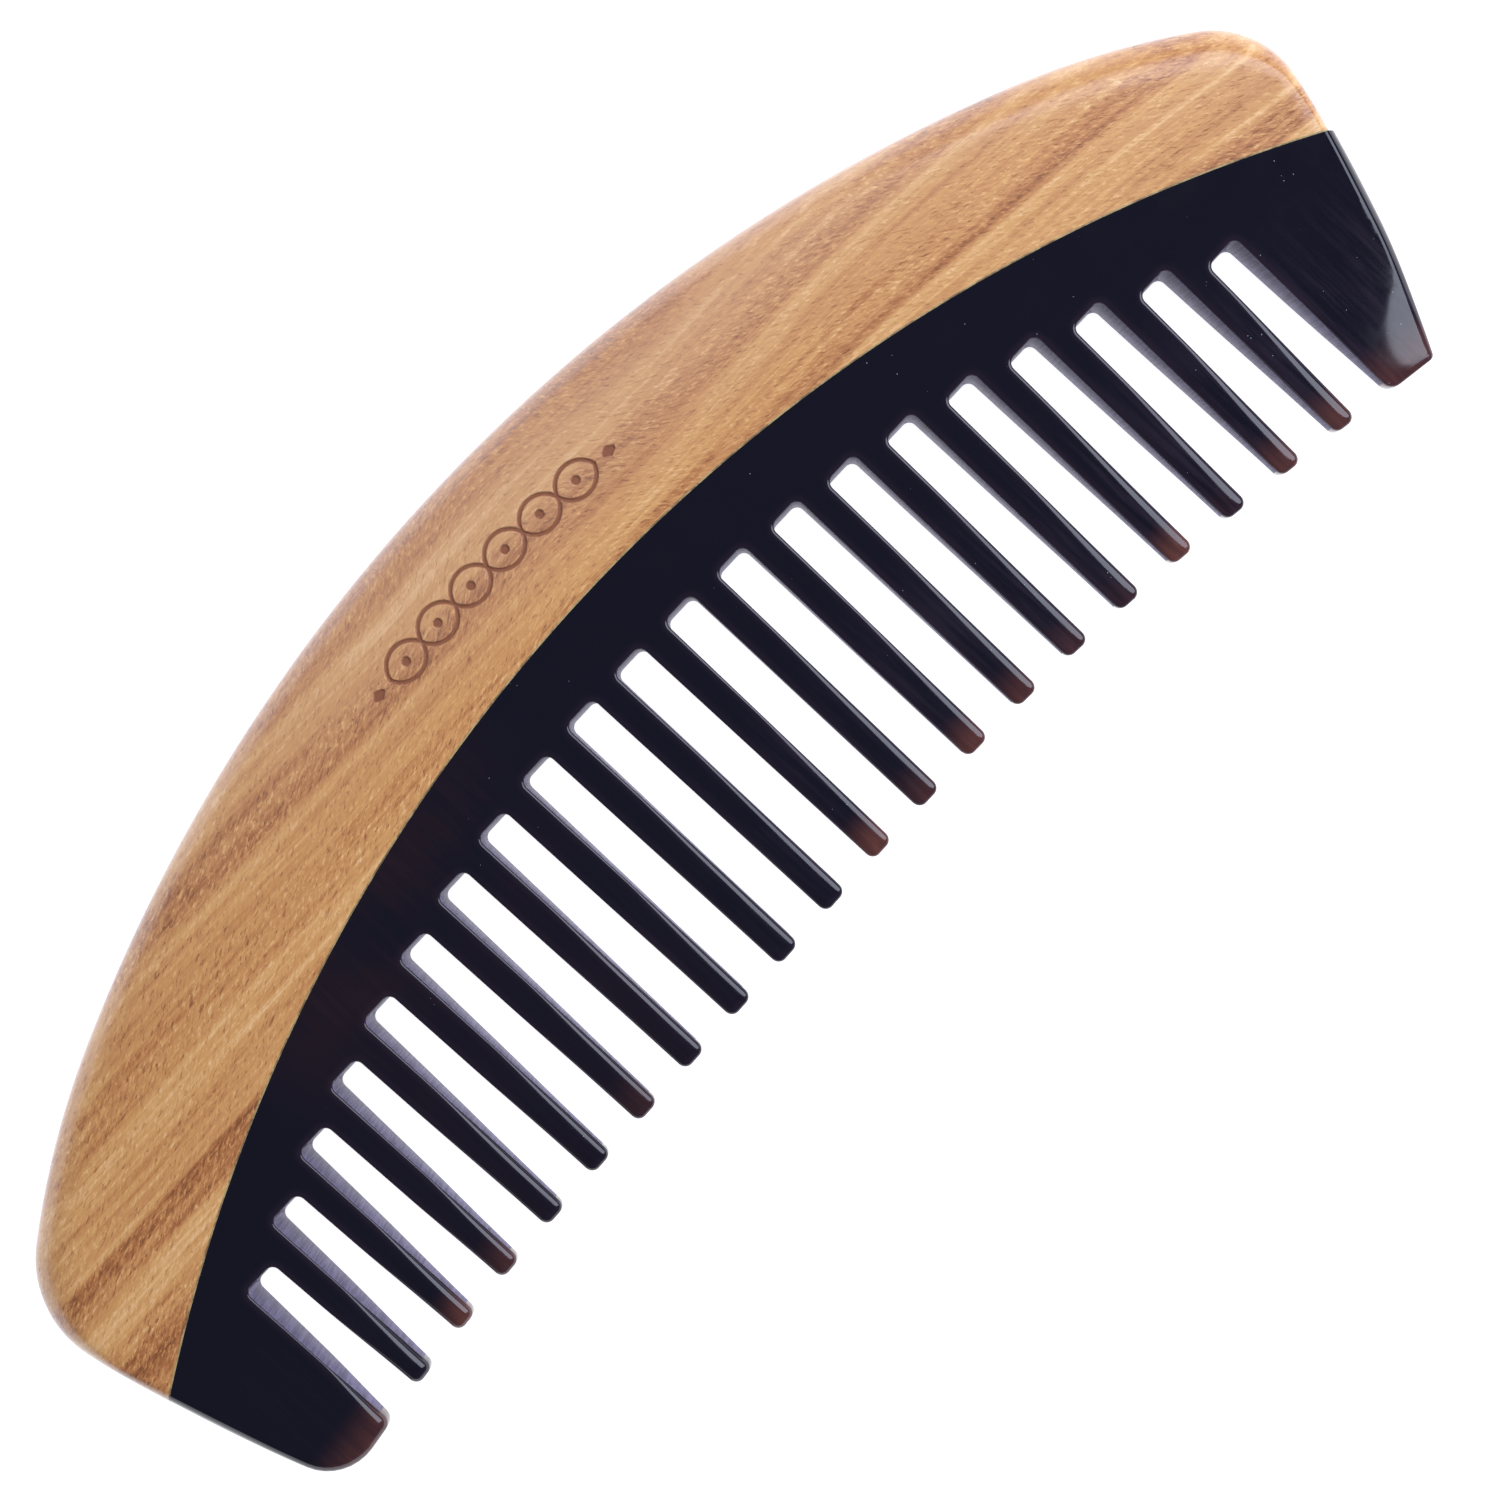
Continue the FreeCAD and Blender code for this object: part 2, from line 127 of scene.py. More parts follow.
# The right guard tooth is filed thinner towards its outer corner.
GUARD_THINNING = 0.46
GUARD_REACH = 13.0
THINNING_LEVELS = (-18.0, -28.0)

# Each tooth narrows on the side that faces the comb's nearer end, which starts a little proud.
PROUD_AT_ROOT = 0.12
NARROWING = 0.12
NARROWING_AT_END = 0.36

# Hand filing leaves the line of the tips a little wavy.
FILING_HEIGHT = 0.5
FILING_LENGTH = 94.0
FILING_START = 5.0

# The teeth are numbered along X, with 0 and 1 on either side of the middle saw cut.
LEFT_GUARD = -10
RIGHT_GUARD = 11

# How brown and clear the tips are, by tooth; the rest are black to the end
CLEAR_TIPS = {
    LEFT_GUARD: 0.5,
    -8: 0.8,
    -7: 0.4,
    -4: 0.2,
    1: 0.9,
    2: 0.35,
    3: 0.75,
    4: 0.6,
    5: 0.3,
    6: 0.15,
    7: 0.9,
    8: 0.1,
    9: 0.6,
    10: 0.6,
    RIGHT_GUARD: 0.45,
}

# ---------------- mesh fineness
# The edge's rings of points reach in by a zone at most. Where the rounding is wider, rows of
# points at the terraces' distances inside the rings follow, and a grid fills the rest.
RINGS = 8
SIDE_ZONE = 1.3
TOOTH_ZONE = 0.5
CORNER_ZONE = 0.75
ZONE_LEVELS = (-16.0, -26.0)
WHOLE_WIDTH = 9.0
TERRACES = (0.16, 0.34, 0.54, 0.76)
TERRACE_OVERRUN = 0.2
TERRACE_CLEARANCE = 0.97
ARC_STEPS = 8
WALL_STEP = 0.7
SIDE_STEP = 0.7
PLATE_GRID = 0.45
WOOD_GRID = 0.95
FILM_GRID = 2.0
ORNAMENT_GRID = 0.115
HEX_ROW = 0.866
DENSE_STEP = 0.1
WALL_FADE = 0.4
SAME_POINT = 1e-4
SHARP_ANGLE = 34.0

# Edges that a later cut takes away: how far they lie outside the piece, how far apart their points
# are, and the width and floor of their rounding
SPARE = 4.0
SPARE_FOOT = 2.0
SPARE_STEP = 2.0
SPARE_FOOT_STEP = 3.0
SPARE_WIDTH = 0.05
SPARE_FLOOR = 0.9

# ---------------- engraved ornament
WAVE_EYES = 6
WAVE_STEP = 4.6
WAVE_HEIGHT = 1.7
WAVE_LINE = 0.45
WAVE_DEPTH = 0.22
WAVE_RADIUS = 151.0
WAVE_MIDDLE_X = -3.0
DOT_RADIUS = 0.5
LOZENGE_LENGTH = 2.2
LOZENGE_WIDTH = 1.4
LOZENGE_FILL = 0.55
LOZENGE_PLACE = WAVE_EYES * WAVE_STEP / 2 + 0.8 * LOZENGE_LENGTH
# Distances from the middle of an engraved line, as shares of its width: the floor's and the wall's end
LINE_FLOOR = 0.25
LINE_WALL = 0.55
ORNAMENT_STEP = 0.05
ORNAMENT_COARSE = 6


# ================ plan geometry
def unit(vector):
    return vector / np.linalg.norm(vector)


def direction(degrees):
    angle = math.radians(degrees)
    return np.array((math.cos(angle), math.sin(angle)))


def heading(start, end):
    return math.degrees(math.atan2(end[1] - start[1], end[0] - start[0]))


def centre_between(first, first_distance, second, second_distance, side):
    """The point at these distances from two centres, on one side (1 or -1) of their line."""
    along = second - first
    span = np.linalg.norm(along)
    foot = (first_distance**2 - second_distance**2 + span**2) / (2 * span)
    rise = math.sqrt(max(first_distance**2 - foot**2, 0.0))
    along = along / span
    normal = np.array((-along[1], along[0]))
    return first + along * foot + normal * side * rise


def slot_centres():
    """Where the saw cuts lie: evenly spaced, but closing up a little towards the two ends."""
    numbers = [index - (SLOTS - 1) / 2 for index in range(SLOTS)]
    return [MIDDLE_SLOT_X + SLOT_PITCH * n - SLOT_CLOSING * n**3 for n in numbers]


def root_level(x):
    return ROOT_CENTRE[1] + np.sqrt(ROOT_RADIUS**2 - (x - ROOT_CENTRE[0]) ** 2)


def tip_level(x):
    return TIP_TOP - TIP_RADIUS + np.sqrt(TIP_RADIUS**2 - (x - TIP_X) ** 2)


def filed_level(x):
    """The line of the tooth tips with the waviness of hand filing."""
    wave = np.sin(2 * np.pi * (x - FILING_START) / FILING_LENGTH)
    return tip_level(x) + FILING_HEIGHT * wave


def wall_shift(x, side):
    """How far a saw cut's wall moves along X at its root and at its tip, from straight."""
    if side * x > 0:
        return 0.0, 0.0
    narrowing = NARROWING + NARROWING_AT_END * (2 * x / LENGTH) ** 2
    return -side * PROUD_AT_ROOT, side * narrowing


def smooth(value, low, high):
    """0 below low, 1 above high, and a smooth step between."""
    share = np.clip((value - low) / (high - low), 0.0, 1.0)
    return share * share * (3 - 2 * share)


def lower(y, levels):
    """0 above the first level in Y, 1 below the second."""
    return smooth(-y, -levels[0], -levels[1])


def half_thickness(x, y):
    """Half the thickness as ground: flat on the back, then tapered in two steps to the tips."""
    reach = FACE_RADIUS - np.hypot(x - FACE_CENTRE[0], y - FACE_CENTRE[1])
    taper = HALF_AT_JOINT - TAPER * reach
    flat = HALF_THICKNESS
    blended = (taper + flat - np.sqrt((taper - flat) ** 2 + FACE_SOFTNESS)) / 2
    tip = HALF_AT_JOINT - TAPER * KNEE_REACH - TIP_TAPER * (reach - KNEE_REACH)
    return (blended + tip + np.sqrt((blended - tip) ** 2 + KNEE_SOFTNESS)) / 2


class Outline:
    """The arcs round the comb, for a given step at its right side."""

    def __init__(self, right_step):
        self.back = np.array((BACK_CENTRE_X, HEIGHT / 2 - BACK_RADIUS))
        self.left_corner = np.array((LEFT_CORNER_RADIUS - LENGTH / 2, LEFT_CORNER_Y))
        right_end = LENGTH / 2 + right_step
        self.right_corner = np.array((right_end - RIGHT_CORNER_RADIUS, RIGHT_CORNER_Y))
        inside = BACK_RADIUS - SHOULDER_RADIUS
        left_reach = SHOULDER_RADIUS - LEFT_CORNER_RADIUS
        right_reach = SHOULDER_RADIUS - RIGHT_CORNER_RADIUS
        self.left_shoulder = centre_between(self.back, inside, self.left_corner, left_reach, -1)
        self.right_shoulder = centre_between(self.back, inside, self.right_corner, right_reach, 1)
        left_run = LEFT_SIDE_RADIUS - LEFT_CORNER_RADIUS
        right_run = RIGHT_SIDE_RADIUS - RIGHT_CORNER_RADIUS
        self.left_side = self.left_corner + left_run * direction(LEFT_SIDE_LEAN)
        self.right_side = self.right_corner + right_run * direction(180 - RIGHT_SIDE_LEAN)

    def side_angle(self, left, level):
        """The angle on a side's circle at which the side reaches a level in Y."""
        centre = self.left_side if left else self.right_side
        radius = LEFT_SIDE_RADIUS if left else RIGHT_SIDE_RADIUS
        drop = math.degrees(math.asin((centre[1] - level) / radius))
        return 180 + drop if left else -drop


COMB = Outline(0.0)
PLATE = Outline(PROUD_STEP)


def guard_thinning(x, y):
    """What is left of the thickness where the right guard tooth thins out to its outer corner."""
    centre = PLATE.right_side
    inside = RIGHT_SIDE_RADIUS - np.hypot(x - centre[0], y - centre[1])
    near = np.clip(1 - inside / GUARD_REACH, 0.0, 1.0)
    return 1 - GUARD_THINNING * near**2 * lower(y, THINNING_LEVELS)


def thickness(plan):
    """Half the comb's thickness at points in plan, without the rounding of its edges."""
    x, y = plan[:, 0], plan[:, 1]
    return half_thickness(x, y) * guard_thinning(x, y)


class Path:
    """A closed outline walked anticlockwise, with how its edge is rounded at each point."""

    def __init__(self):
        self.points = []
        self.values = ([], [], [], [])

    def add(self, points, *given):
        """Adds points with a width, floor, zone and sawn: numbers, or functions of x and y."""
        for point in points:
            if self.points and np.linalg.norm(self.points[-1] - point) < SAME_POINT:
                continue
            self.points.append(np.array(point, dtype=float))
            for values, value in zip(self.values, given):
                values.append(float(value(*point) if callable(value) else value))

    def arrays(self):
        """The points, their directions inwards, and the four values at each of them."""
        points = np.array(self.points)
        closed = np.linalg.norm(points[0] - points[-1]) < SAME_POINT
        keep = slice(0, len(points) - 1 if closed else len(points))
        points = points[keep]
        ahead = np.roll(points, -1, axis=0) - points
        ahead /= np.linalg.norm(ahead, axis=1)[:, None]
        tangent = ahead + np.roll(ahead, 1, axis=0)
        tangent /= np.linalg.norm(tangent, axis=1)[:, None]
        inward = np.stack((-tangent[:, 1], tangent[:, 0]), axis=1)
        return [points, inward] + [np.array(values)[keep] for values in self.values]


def arc_points(centre, radius, first, last, step=None, steps=None):
    """Points on an arc between two angles in degrees, by spacing or by number."""
    length = abs(math.radians(last - first)) * radius
    count = steps or max(2, math.ceil(length / step))
    return [centre + radius * direction(a) for a in np.linspace(first, last, count + 1)]


def line_points(start, end, step):
    count = max(1, math.ceil(np.linalg.norm(end - start) / step))
    return [start + (end - start) * share for share in np.linspace(0, 1, count + 1)]


def fillet(before, corner, after, radius):
    """The points of a rounded corner between two straight runs."""
    back = unit(before - corner)
    on = unit(after - corner)
    half = math.acos(np.clip(np.dot(back, on), -1, 1)) / 2
    centre = corner + unit(back + on) * radius / math.sin(half)
    start = corner + back * radius / math.tan(half)
    end = corner + on * radius / math.tan(half)
    first = heading(centre, start)
    turn = (heading(centre, end) - first + 180) % 360 - 180
    return arc_points(centre, radius, first, first + turn, steps=ARC_STEPS)


def side_fillet(centre, radius, line_start, line_end, corner, left):
    """The rounded corner between a comb's side and its guard tooth's end.

    It returns the angle where it leaves the side, and its points from the side to the end.
    """
    along = unit(line_end - line_start)
    inward = np.array((-along[1], along[0]))
    if inward[1] < 0:
        inward = -inward
    base = line_start + inward * corner
    offset = base - centre
    reach = np.dot(offset, along)
    spread = math.sqrt(reach**2 - np.dot(offset, offset) + (radius - corner) ** 2)
    middle = base + along * (-reach + (-spread if left else spread) * np.sign(along[0]))
    leave = heading(centre, middle)
    foot = middle - inward * corner
    last = heading(middle, foot)
    turn = (last - leave + 180) % 360 - 180
    return leave, arc_points(middle, corner, leave, leave + turn, steps=ARC_STEPS)


def tooth_share(x, y):
    """0 at the root of the teeth and 1 at their tips."""
    level = root_level(np.clip(x, ROOTS_LEFT, ROOTS_RIGHT))
    return np.clip((level - y) / (level - tip_level(x)), 0.0, 1.0)


def tooth_number(x):
    return np.round((x - MIDDLE_SLOT_X) / SLOT_PITCH + 0.5)


def clear_tips(x):
    """How brown and clear the tip of the tooth at each place along X is."""
    numbers = np.clip(tooth_number(x), LEFT_GUARD, RIGHT_GUARD)
    found = np.zeros(len(x))
    for number, strength in CLEAR_TIPS.items():
        found[numbers == number] = strength
    return found


def tooth_growth(x, y):
    """How far the filing of a tooth's edges has set in, which starts at another place on each tooth."""
    number = tooth_number(x)
    start = TOOTH_ROUND_START - TOOTH_START_TILT * 2 * x / LENGTH
    start = start + TOOTH_START_SPREAD * np.sin(TOOTH_START_TURN * number)
    return smooth(tooth_share(x, y), start, 1.0)


def tooth_round(x, y):
    growth = tooth_growth(x, y) ** TOOTH_GROWTH_POWER
    return TOOTH_ROUND_AT_ROOT + (TOOTH_ROUND_AT_TIP - TOOTH_ROUND_AT_ROOT) * growth


def tooth_floor(x, y):
    tip = TIP_FLOOR + TIP_FLOOR_TILT * x
    return ROOT_FLOOR + (tip - ROOT_FLOOR) * tooth_growth(x, y)


def side_round(x, y):
    """The rounding's width along a side, from the back down to the guard tooth's end."""
    upper = BACK_ROUND + (SIDE_ROUND - BACK_ROUND) * lower(y, SIDE_LEVELS)
    return upper + (GUARD_ROUND - SIDE_ROUND) * lower(y, GUARD_LEVELS)


def side_floor(x, y):
    """What the rounding leaves at the plate's sides: as little as on the wood at first, then more."""
    reach = JOINT_RADIUS - np.hypot(x - JOINT[0], y - JOINT[1])
    growth = smooth(reach, SIDE_FLOOR_START, SIDE_FLOOR_END)
    return OUTER_FLOOR + (SIDE_FLOOR - OUTER_FLOOR) * growth


def back_path(outline):
    """The whole comb's outline without teeth, from which the back and the glue film are cut."""
    foot = -HEIGHT / 2 - SPARE_FOOT
    path = Path()
    back_left = heading(outline.back, outline.left_shoulder)
    back_right = heading(outline.back, outline.right_shoulder)
    left_turn = heading(outline.left_shoulder, outline.left_corner)
    right_turn = heading(outline.right_shoulder, outline.right_corner)
    left_foot = outline.side_angle(True, foot)
    right_foot = outline.side_angle(False, foot)
    runs = (
        (outline.right_side, RIGHT_SIDE_RADIUS, right_foot, -RIGHT_SIDE_LEAN, side_round),
        (outline.right_corner, RIGHT_CORNER_RADIUS, -RIGHT_SIDE_LEAN, right_turn, side_round),
        (outline.right_shoulder, SHOULDER_RADIUS, right_turn, back_right, BACK_ROUND),
        (outline.back, BACK_RADIUS, back_right, back_left, BACK_ROUND),
        (outline.left_shoulder, SHOULDER_RADIUS, back_left, left_turn, BACK_ROUND),
        (outline.left_corner, LEFT_CORNER_RADIUS, left_turn, 180 + LEFT_SIDE_LEAN, side_round),
        (outline.left_side, LEFT_SIDE_RADIUS, 180 + LEFT_SIDE_LEAN, left_foot, side_round),
    )
    for centre, radius, first, last, width in runs:
        points = arc_points(centre, radius, first, last, SIDE_STEP)
        path.add(points, width, OUTER_FLOOR, WHOLE_WIDTH, 0.0)
    closing = line_points(path.points[-1], path.points[0], SPARE_FOOT_STEP)
    path.add(closing[1:-1], SPARE_WIDTH, SPARE_FLOOR, WHOLE_WIDTH, 0.0)
    return path.arrays()


def plate_path(outline):
    """The horn plate's outline with all its teeth, closed a little behind the joint."""
    path = Path()
    behind = JOINT_RADIUS + SPARE
    centres = slot_centres()

    def wall(x, side):
        """The root end and the tip end of a saw cut's wall."""
        at_root, at_tip = wall_shift(x, side)
        straight = x + side * SLOT_WIDTH / 2
        return np.array((straight + at_root, float(root_level(x)))), tip(straight + at_tip)

    def tip(x):
        return np.array((x, float(filed_level(x))))

    left_wall = wall(centres[0], -1)[1][0]
    right_wall = wall(centres[-1], 1)[1][0]

    left_end = (tip(LEFT_GUARD_X), tip(left_wall))
    right_end = (tip(right_wall), tip(RIGHT_GUARD_X))
    left_leave, left_corner = side_fillet(
        outline.left_side, LEFT_SIDE_RADIUS, *left_end, LEFT_OUTER_CORNER, True
    )
    right_leave, right_corner = side_fillet(
        outline.right_side, RIGHT_SIDE_RADIUS, *right_end, RIGHT_OUTER_CORNER, False
    )
    left_top = centre_between(JOINT, behind, outline.left_side, LEFT_SIDE_RADIUS, 1)
    right_top = centre_between(JOINT, behind, outline.right_side, RIGHT_SIDE_RADIUS, -1)

    def side(centre, radius, first, last, corner):
        """A side of the comb; the rings of its edge draw together towards the guard's corner."""

        def zone(x, y):
            return SIDE_ZONE + (corner - SIDE_ZONE) * lower(y, ZONE_LEVELS)

        points = arc_points(centre, radius, first, last, SIDE_STEP)
        path.add(points, side_round, side_floor, zone, 0.0)

    def guard_corner(points, first, last, corner):
        """A guard tooth's outer corner, on which the side's rounding turns into the tooth's.

        first is the corner's end at the side, and last its end at the tip.
        """

        def share(x, y):
            return np.linalg.norm(np.array((x, y)) - first) / np.linalg.norm(last - first)

        def width(x, y):
            return side_round(x, y) + (tooth_round(x, y) - side_round(x, y)) * share(x, y)

        def floor(x, y):
            return side_floor(x, y) + (tooth_floor(x, y) - side_floor(x, y)) * share(x, y)

        def zone(x, y):
            return corner + (TOOTH_ZONE - corner) * share(x, y)

        path.add(points, width, floor, zone, 0.0)

    left_zone = CORNER_ZONE * LEFT_OUTER_CORNER
    right_zone = CORNER_ZONE * RIGHT_OUTER_CORNER
    right_top_angle = heading(outline.right_side, right_top)
    left_top_angle = heading(outline.left_side, left_top) % 360
    side(outline.right_side, RIGHT_SIDE_RADIUS, right_leave, right_top_angle, right_zone)
    closing_ends = (heading(JOINT, right_top), heading(JOINT, left_top))
    closing = arc_points(JOINT, behind, *closing_ends, SPARE_STEP)
    path.add(closing[1:-1], SPARE_WIDTH, SPARE_FLOOR, SPARE_WIDTH, 0.0)
    side(outline.left_side, LEFT_SIDE_RADIUS, left_top_angle, left_leave % 360, left_zone)
    guard_corner(left_corner, left_corner[0], left_corner[-1], left_zone)

    corners = [(tip(left_wall), LEFT_INNER_CORNER, 0.0)]
    for number, x in enumerate(centres):
        for side_of_cut in (-1, 1):
            corners.append((wall(x, side_of_cut)[0], ROOT_CORNER, 1.0))
        last = number == len(centres) - 1
        radius = RIGHT_INNER_CORNER if last else TIP_CORNER
        corners.append((wall(x, 1)[1], radius, 0.0))
        if not last:
            corners.append((wall(centres[number + 1], -1)[1], TIP_CORNER, 0.0))
    places = [left_corner[-1]] + [corner[0] for corner in corners] + [right_corner[-1]]
    wall_before = 0.0
    for number, (place, radius, sawn) in enumerate(corners):
        bend = fillet(places[number], place, places[number + 2], radius)
        run = line_points(path.points[-1], bend[0], WALL_STEP)
        path.add(run[1:], tooth_round, tooth_floor, TOOTH_ZONE, max(sawn, wall_before))
        path.add(bend, tooth_round, tooth_floor, TOOTH_ZONE, sawn)
        wall_before = sawn
    run = line_points(path.points[-1], right_corner[-1], WALL_STEP)
    path.add(run[1:-1], tooth_round, tooth_floor, TOOTH_ZONE, 0.0)
    guard_corner(right_corner[::-1], right_corner[0], right_corner[-1], right_zone)
    return path.arrays()


# ================ meshes
def hex_grid(low, high, step):
    """Points of a triangular grid over a box in plan."""
    rows = math.ceil((high[1] - low[1]) / (step * HEX_ROW))
    columns = math.ceil((high[0] - low[0]) / step)
    points = []
    for row in range(rows + 1):
        xs = low[0] + 0.5 * step * (row % 2) + step * np.arange(columns + 1)
        ys = np.full(columns + 1, low[1] + row * step * HEX_ROW)
        points.append(np.stack((xs, ys), axis=1))
    return np.concatenate(points)


def nearest(points, targets):
    """For each point, the nearest target's number and distance."""
    tree = kdtree.KDTree(len(targets))
    for number, target in enumerate(targets):
        tree.insert((target[0], target[1], 0.0), number)
    tree.balance()
    found = [tree.find((point[0], point[1], 0.0)) for point in points]
    return np.array([f[1] for f in found]), np.array([f[2] for f in found])


def dense(points):
    """A closed outline's points filled in closely, and each one's place among the outline's points."""
    filled = []
    places = []
    count = len(points)
    for number in range(count):
        start = points[number]
        end = points[(number + 1) % count]
        pieces = max(1, math.ceil(np.linalg.norm(end - start) / DENSE_STEP))
        shares = np.arange(pieces) / pieces
        filled.append(start + (end - start) * shares[:, None])
        places.append(number + shares)
    return np.concatenate(filled), np.concatenate(places)


def interpolated(values, places):
    """Values of the outline's points read at places between them."""
    low = places.astype(int)
    share = places - low
    return values[low] * (1 - share) + values[(low + 1) % len(values)] * share


def edge_height(distance, width, floor):
    """The share of the full height at a distance inside an edge rounded over a width.

    Deep edges are rounded to an ellipse. Shallow ones, on the teeth, are filed to a parabola that
    ends in a small round lip.
    """
    inside = 1 - np.clip(distance / width, 0, 1)
    ellipse = np.sqrt(np.clip(1 - inside**2, 0, 1))
    lip = np.clip((inside - 1 + LIP_WIDTH) / LIP_WIDTH, 0, 1)
    filed = 1 - (1 - LIP_DEPTH) * inside**2 - LIP_DEPTH * (1 - np.sqrt(np.clip(1 - lip**2, 0, 1)))
    shallow = smooth(floor, OUTER_FLOOR, 3 * OUTER_FLOOR)
    return floor + (1 - floor) * (ellipse + (filed - ellipse) * shallow)


def edge_rings(points, inward, widths, floors, zone):
    """Rows of points over the zone inside an outline, closest together at the edge."""
    rows = []
    for number in range(RINGS + 1):
        inset = zone * (1 - math.cos(math.pi / 2 * number / RINGS))
        plan = points + inward * inset[:, None]
        rows.append((plan, thickness(plan) * edge_height(inset, widths, floors), inset))
    return rows


def terrace_rows(points, inward, widths, floors, zone, filled):
    """Rows of points inside the rings where the rounding is wider, and how far in they reach."""
    rows = []
    reach = zone.copy()
    for terrace in TERRACES:
        chosen = (widths > zone) & (zone + terrace < widths + TERRACE_OVERRUN)
        inset = zone[chosen] + terrace
        reach[chosen] = inset
        plan = points[chosen] + inward[chosen] * inset[:, None]
        free = nearest(plan, filled)[1] > TERRACE_CLEARANCE * inset
        height = edge_height(inset[free], widths[chosen][free], floors[chosen][free])
        rows.append((plan[free], thickness(plan[free]) * height, inset[free]))
    return rows, reach


def triangulated(plan, count):
    """Triangles between points in plan, inside the closed loop of the first ones, count in all."""
    loop = [(i, (i + 1) % count) for i in range(count)]
    found = delaunay_2d_cdt([Vector(point) for point in plan], loop, [], 1, 1e-6)
    triangles = np.array([face for face in found[2] if len(face) == 3])
    origin = np.array([sources[0] for sources in found[3]])
    return origin[triangles]


def mirrored_faces(top, count, size):
    """A closed body's faces, from the triangles inside the rings of its upper half.

    The upper half has size points, of which each ring takes count. The lower half repeats them.
    """
    faces = [tuple(face) for face in top]
    faces += [tuple(reversed(face)) for face in top + size]
    i = np.arange(count)
    j = (i + 1) % count
    for number in range(RINGS):
        a = number * count
        b = a + count
        faces += list(zip(a + i, a + j, b + j, b + i))
        faces += list(zip(size + a + j, size + a + i, size + b + i, size + b + j))
    faces += list(zip(size + i, size + j, j, i))
    return [tuple(int(corner) for corner in face) for face in faces]


def stamp(mesh, label, values):
    """Gives a mesh a value at each of its points, which its material can read."""
    layer = mesh.attributes.new(label, "FLOAT", "POINT")
    layer.data.foreach_set("value", values)


def board(name, outline, grids, relief=None):
    """A closed mesh of the comb's body inside an outline, rounded at its edge, in millimetres.

    Each grid is a low corner, a high corner, a spacing and a rule for the points it keeps. relief
    takes points in plan and gives how deep the upper face is cut there.
    """
    points, inward, widths, floors, zones, sawn = outline
    count = len(points)
    zone = np.minimum(widths, zones)
    filled, places = dense(points)
    filled_inward = np.stack([interpolated(inward[:, axis], places) for axis in (0, 1)], axis=1)
    terraces, reach = terrace_rows(points, inward, widths, floors, zone, filled)
    rows = edge_rings(points, inward, widths, floors, zone) + terraces
    for low, high, step, keep in grids:
        grid = hex_grid(low, high, step)
        if keep is not None:
            grid = grid[keep(grid)]
        index, distance = nearest(grid, filled)
        side = np.einsum("ij,ij->i", grid - filled[index], filled_inward[index])
        limit = interpolated(reach, places[index]) + 0.5 * step
        good = (side > 0) & (distance > limit)
        grid, index, distance = grid[good], index[good], distance[good]
        width = interpolated(widths, places[index])
        height = edge_height(distance, width, interpolated(floors, places[index]))
        rows.append((grid, thickness(grid) * height, distance))
    plan, half, inset = [np.concatenate(values) for values in zip(*rows)]

    # Upper half of the body: the rings, then the points inside them. The lower half mirrors it.
    size = len(plan)
    depth = np.zeros(size) if relief is None else relief(plan)
    upper = np.column_stack((plan, HALF_THICKNESS + (half - WAVE_DEPTH * depth)))
    lower_half = np.column_stack((plan, HALF_THICKNESS - half))
    vertices = np.concatenate((upper, lower_half))
    top = triangulated(plan[count * RINGS :], count) + count * RINGS
    mesh = bpy.data.meshes.new(name)
    mesh.from_pydata(vertices.tolist(), [], mirrored_faces(top, count, size))
    wall = np.zeros(size)
    wall[:count] = sawn
    wall[count : 2 * count] = sawn * WALL_FADE
    stamp(mesh, "sawn", np.tile(wall, 2))
    stamp(mesh, "inset", np.tile(inset, 2))
    stamp(mesh, "clear", np.tile(clear_tips(plan[:, 0]), 2))
    stamp(mesh, "engraved", np.append(depth, np.zeros(size)))
    mesh.validate()
    return mesh


def cut_between(mesh, low, high):
    """Keeps the part of a board between two distances from the joint, towards the tips, and caps it.

    The cut is straight in a space where the joint's arc is a straight line.
    """
    edit = bmesh.new()
    edit.from_mesh(mesh)
    for vertex in edit.verts:
        offset = np.array(vertex.co[:2]) - JOINT
        reach = JOINT_RADIUS - np.linalg.norm(offset)
        turn = math.atan2(offset[0], offset[1]) * JOINT_RADIUS
        vertex.co = (reach, turn, vertex.co.z)
    for level, sign in ((low, -1), (high, 1)):
        if level is None:
            continue
        bmesh.ops.bisect_plane(
            edit,
            geom=edit.verts[:] + edit.edges[:] + edit.faces[:],
            dist=1e-6,
            plane_co=(level, 0, 0),
            plane_no=(sign, 0, 0),
            clear_outer=True,
        )
        rim = [edge for edge in edit.edges if edge.is_boundary]
        cap = bmesh.ops.contextual_create(edit, geom=rim)
        bmesh.ops.triangulate(edit, faces=cap["faces"])
    for vertex in edit.verts:
        reach, turn, height = vertex.co
        angle = turn / JOINT_RADIUS
        radius = JOINT_RADIUS - reach
        vertex.co = (JOINT[0] + radius * math.sin(angle), JOINT[1] + radius * math.cos(angle), height)
    bmesh.ops.recalc_face_normals(edit, faces=edit.faces[:])
    if edit.calc_volume(signed=True) < 0:
        bmesh.ops.reverse_faces(edit, faces=edit.faces[:])
    edit.to_mesh(mesh)
    edit.free()


def linked(name, data):
    """A new object in the scene."""
    item = bpy.data.objects.new(name, data)
    bpy.context.scene.collection.objects.link(item)
    return item


def finished(name, mesh, material):
    """A shown object in metres from a mesh in millimetres."""
    mesh.transform(Matrix.Scale(MM, 4))
    mesh.polygons.foreach_set("use_smooth", [True] * len(mesh.polygons))
    mesh.set_sharp_from_angle(angle=math.radians(SHARP_ANGLE))
    mesh.materials.append(material)
    return linked(name, mesh)


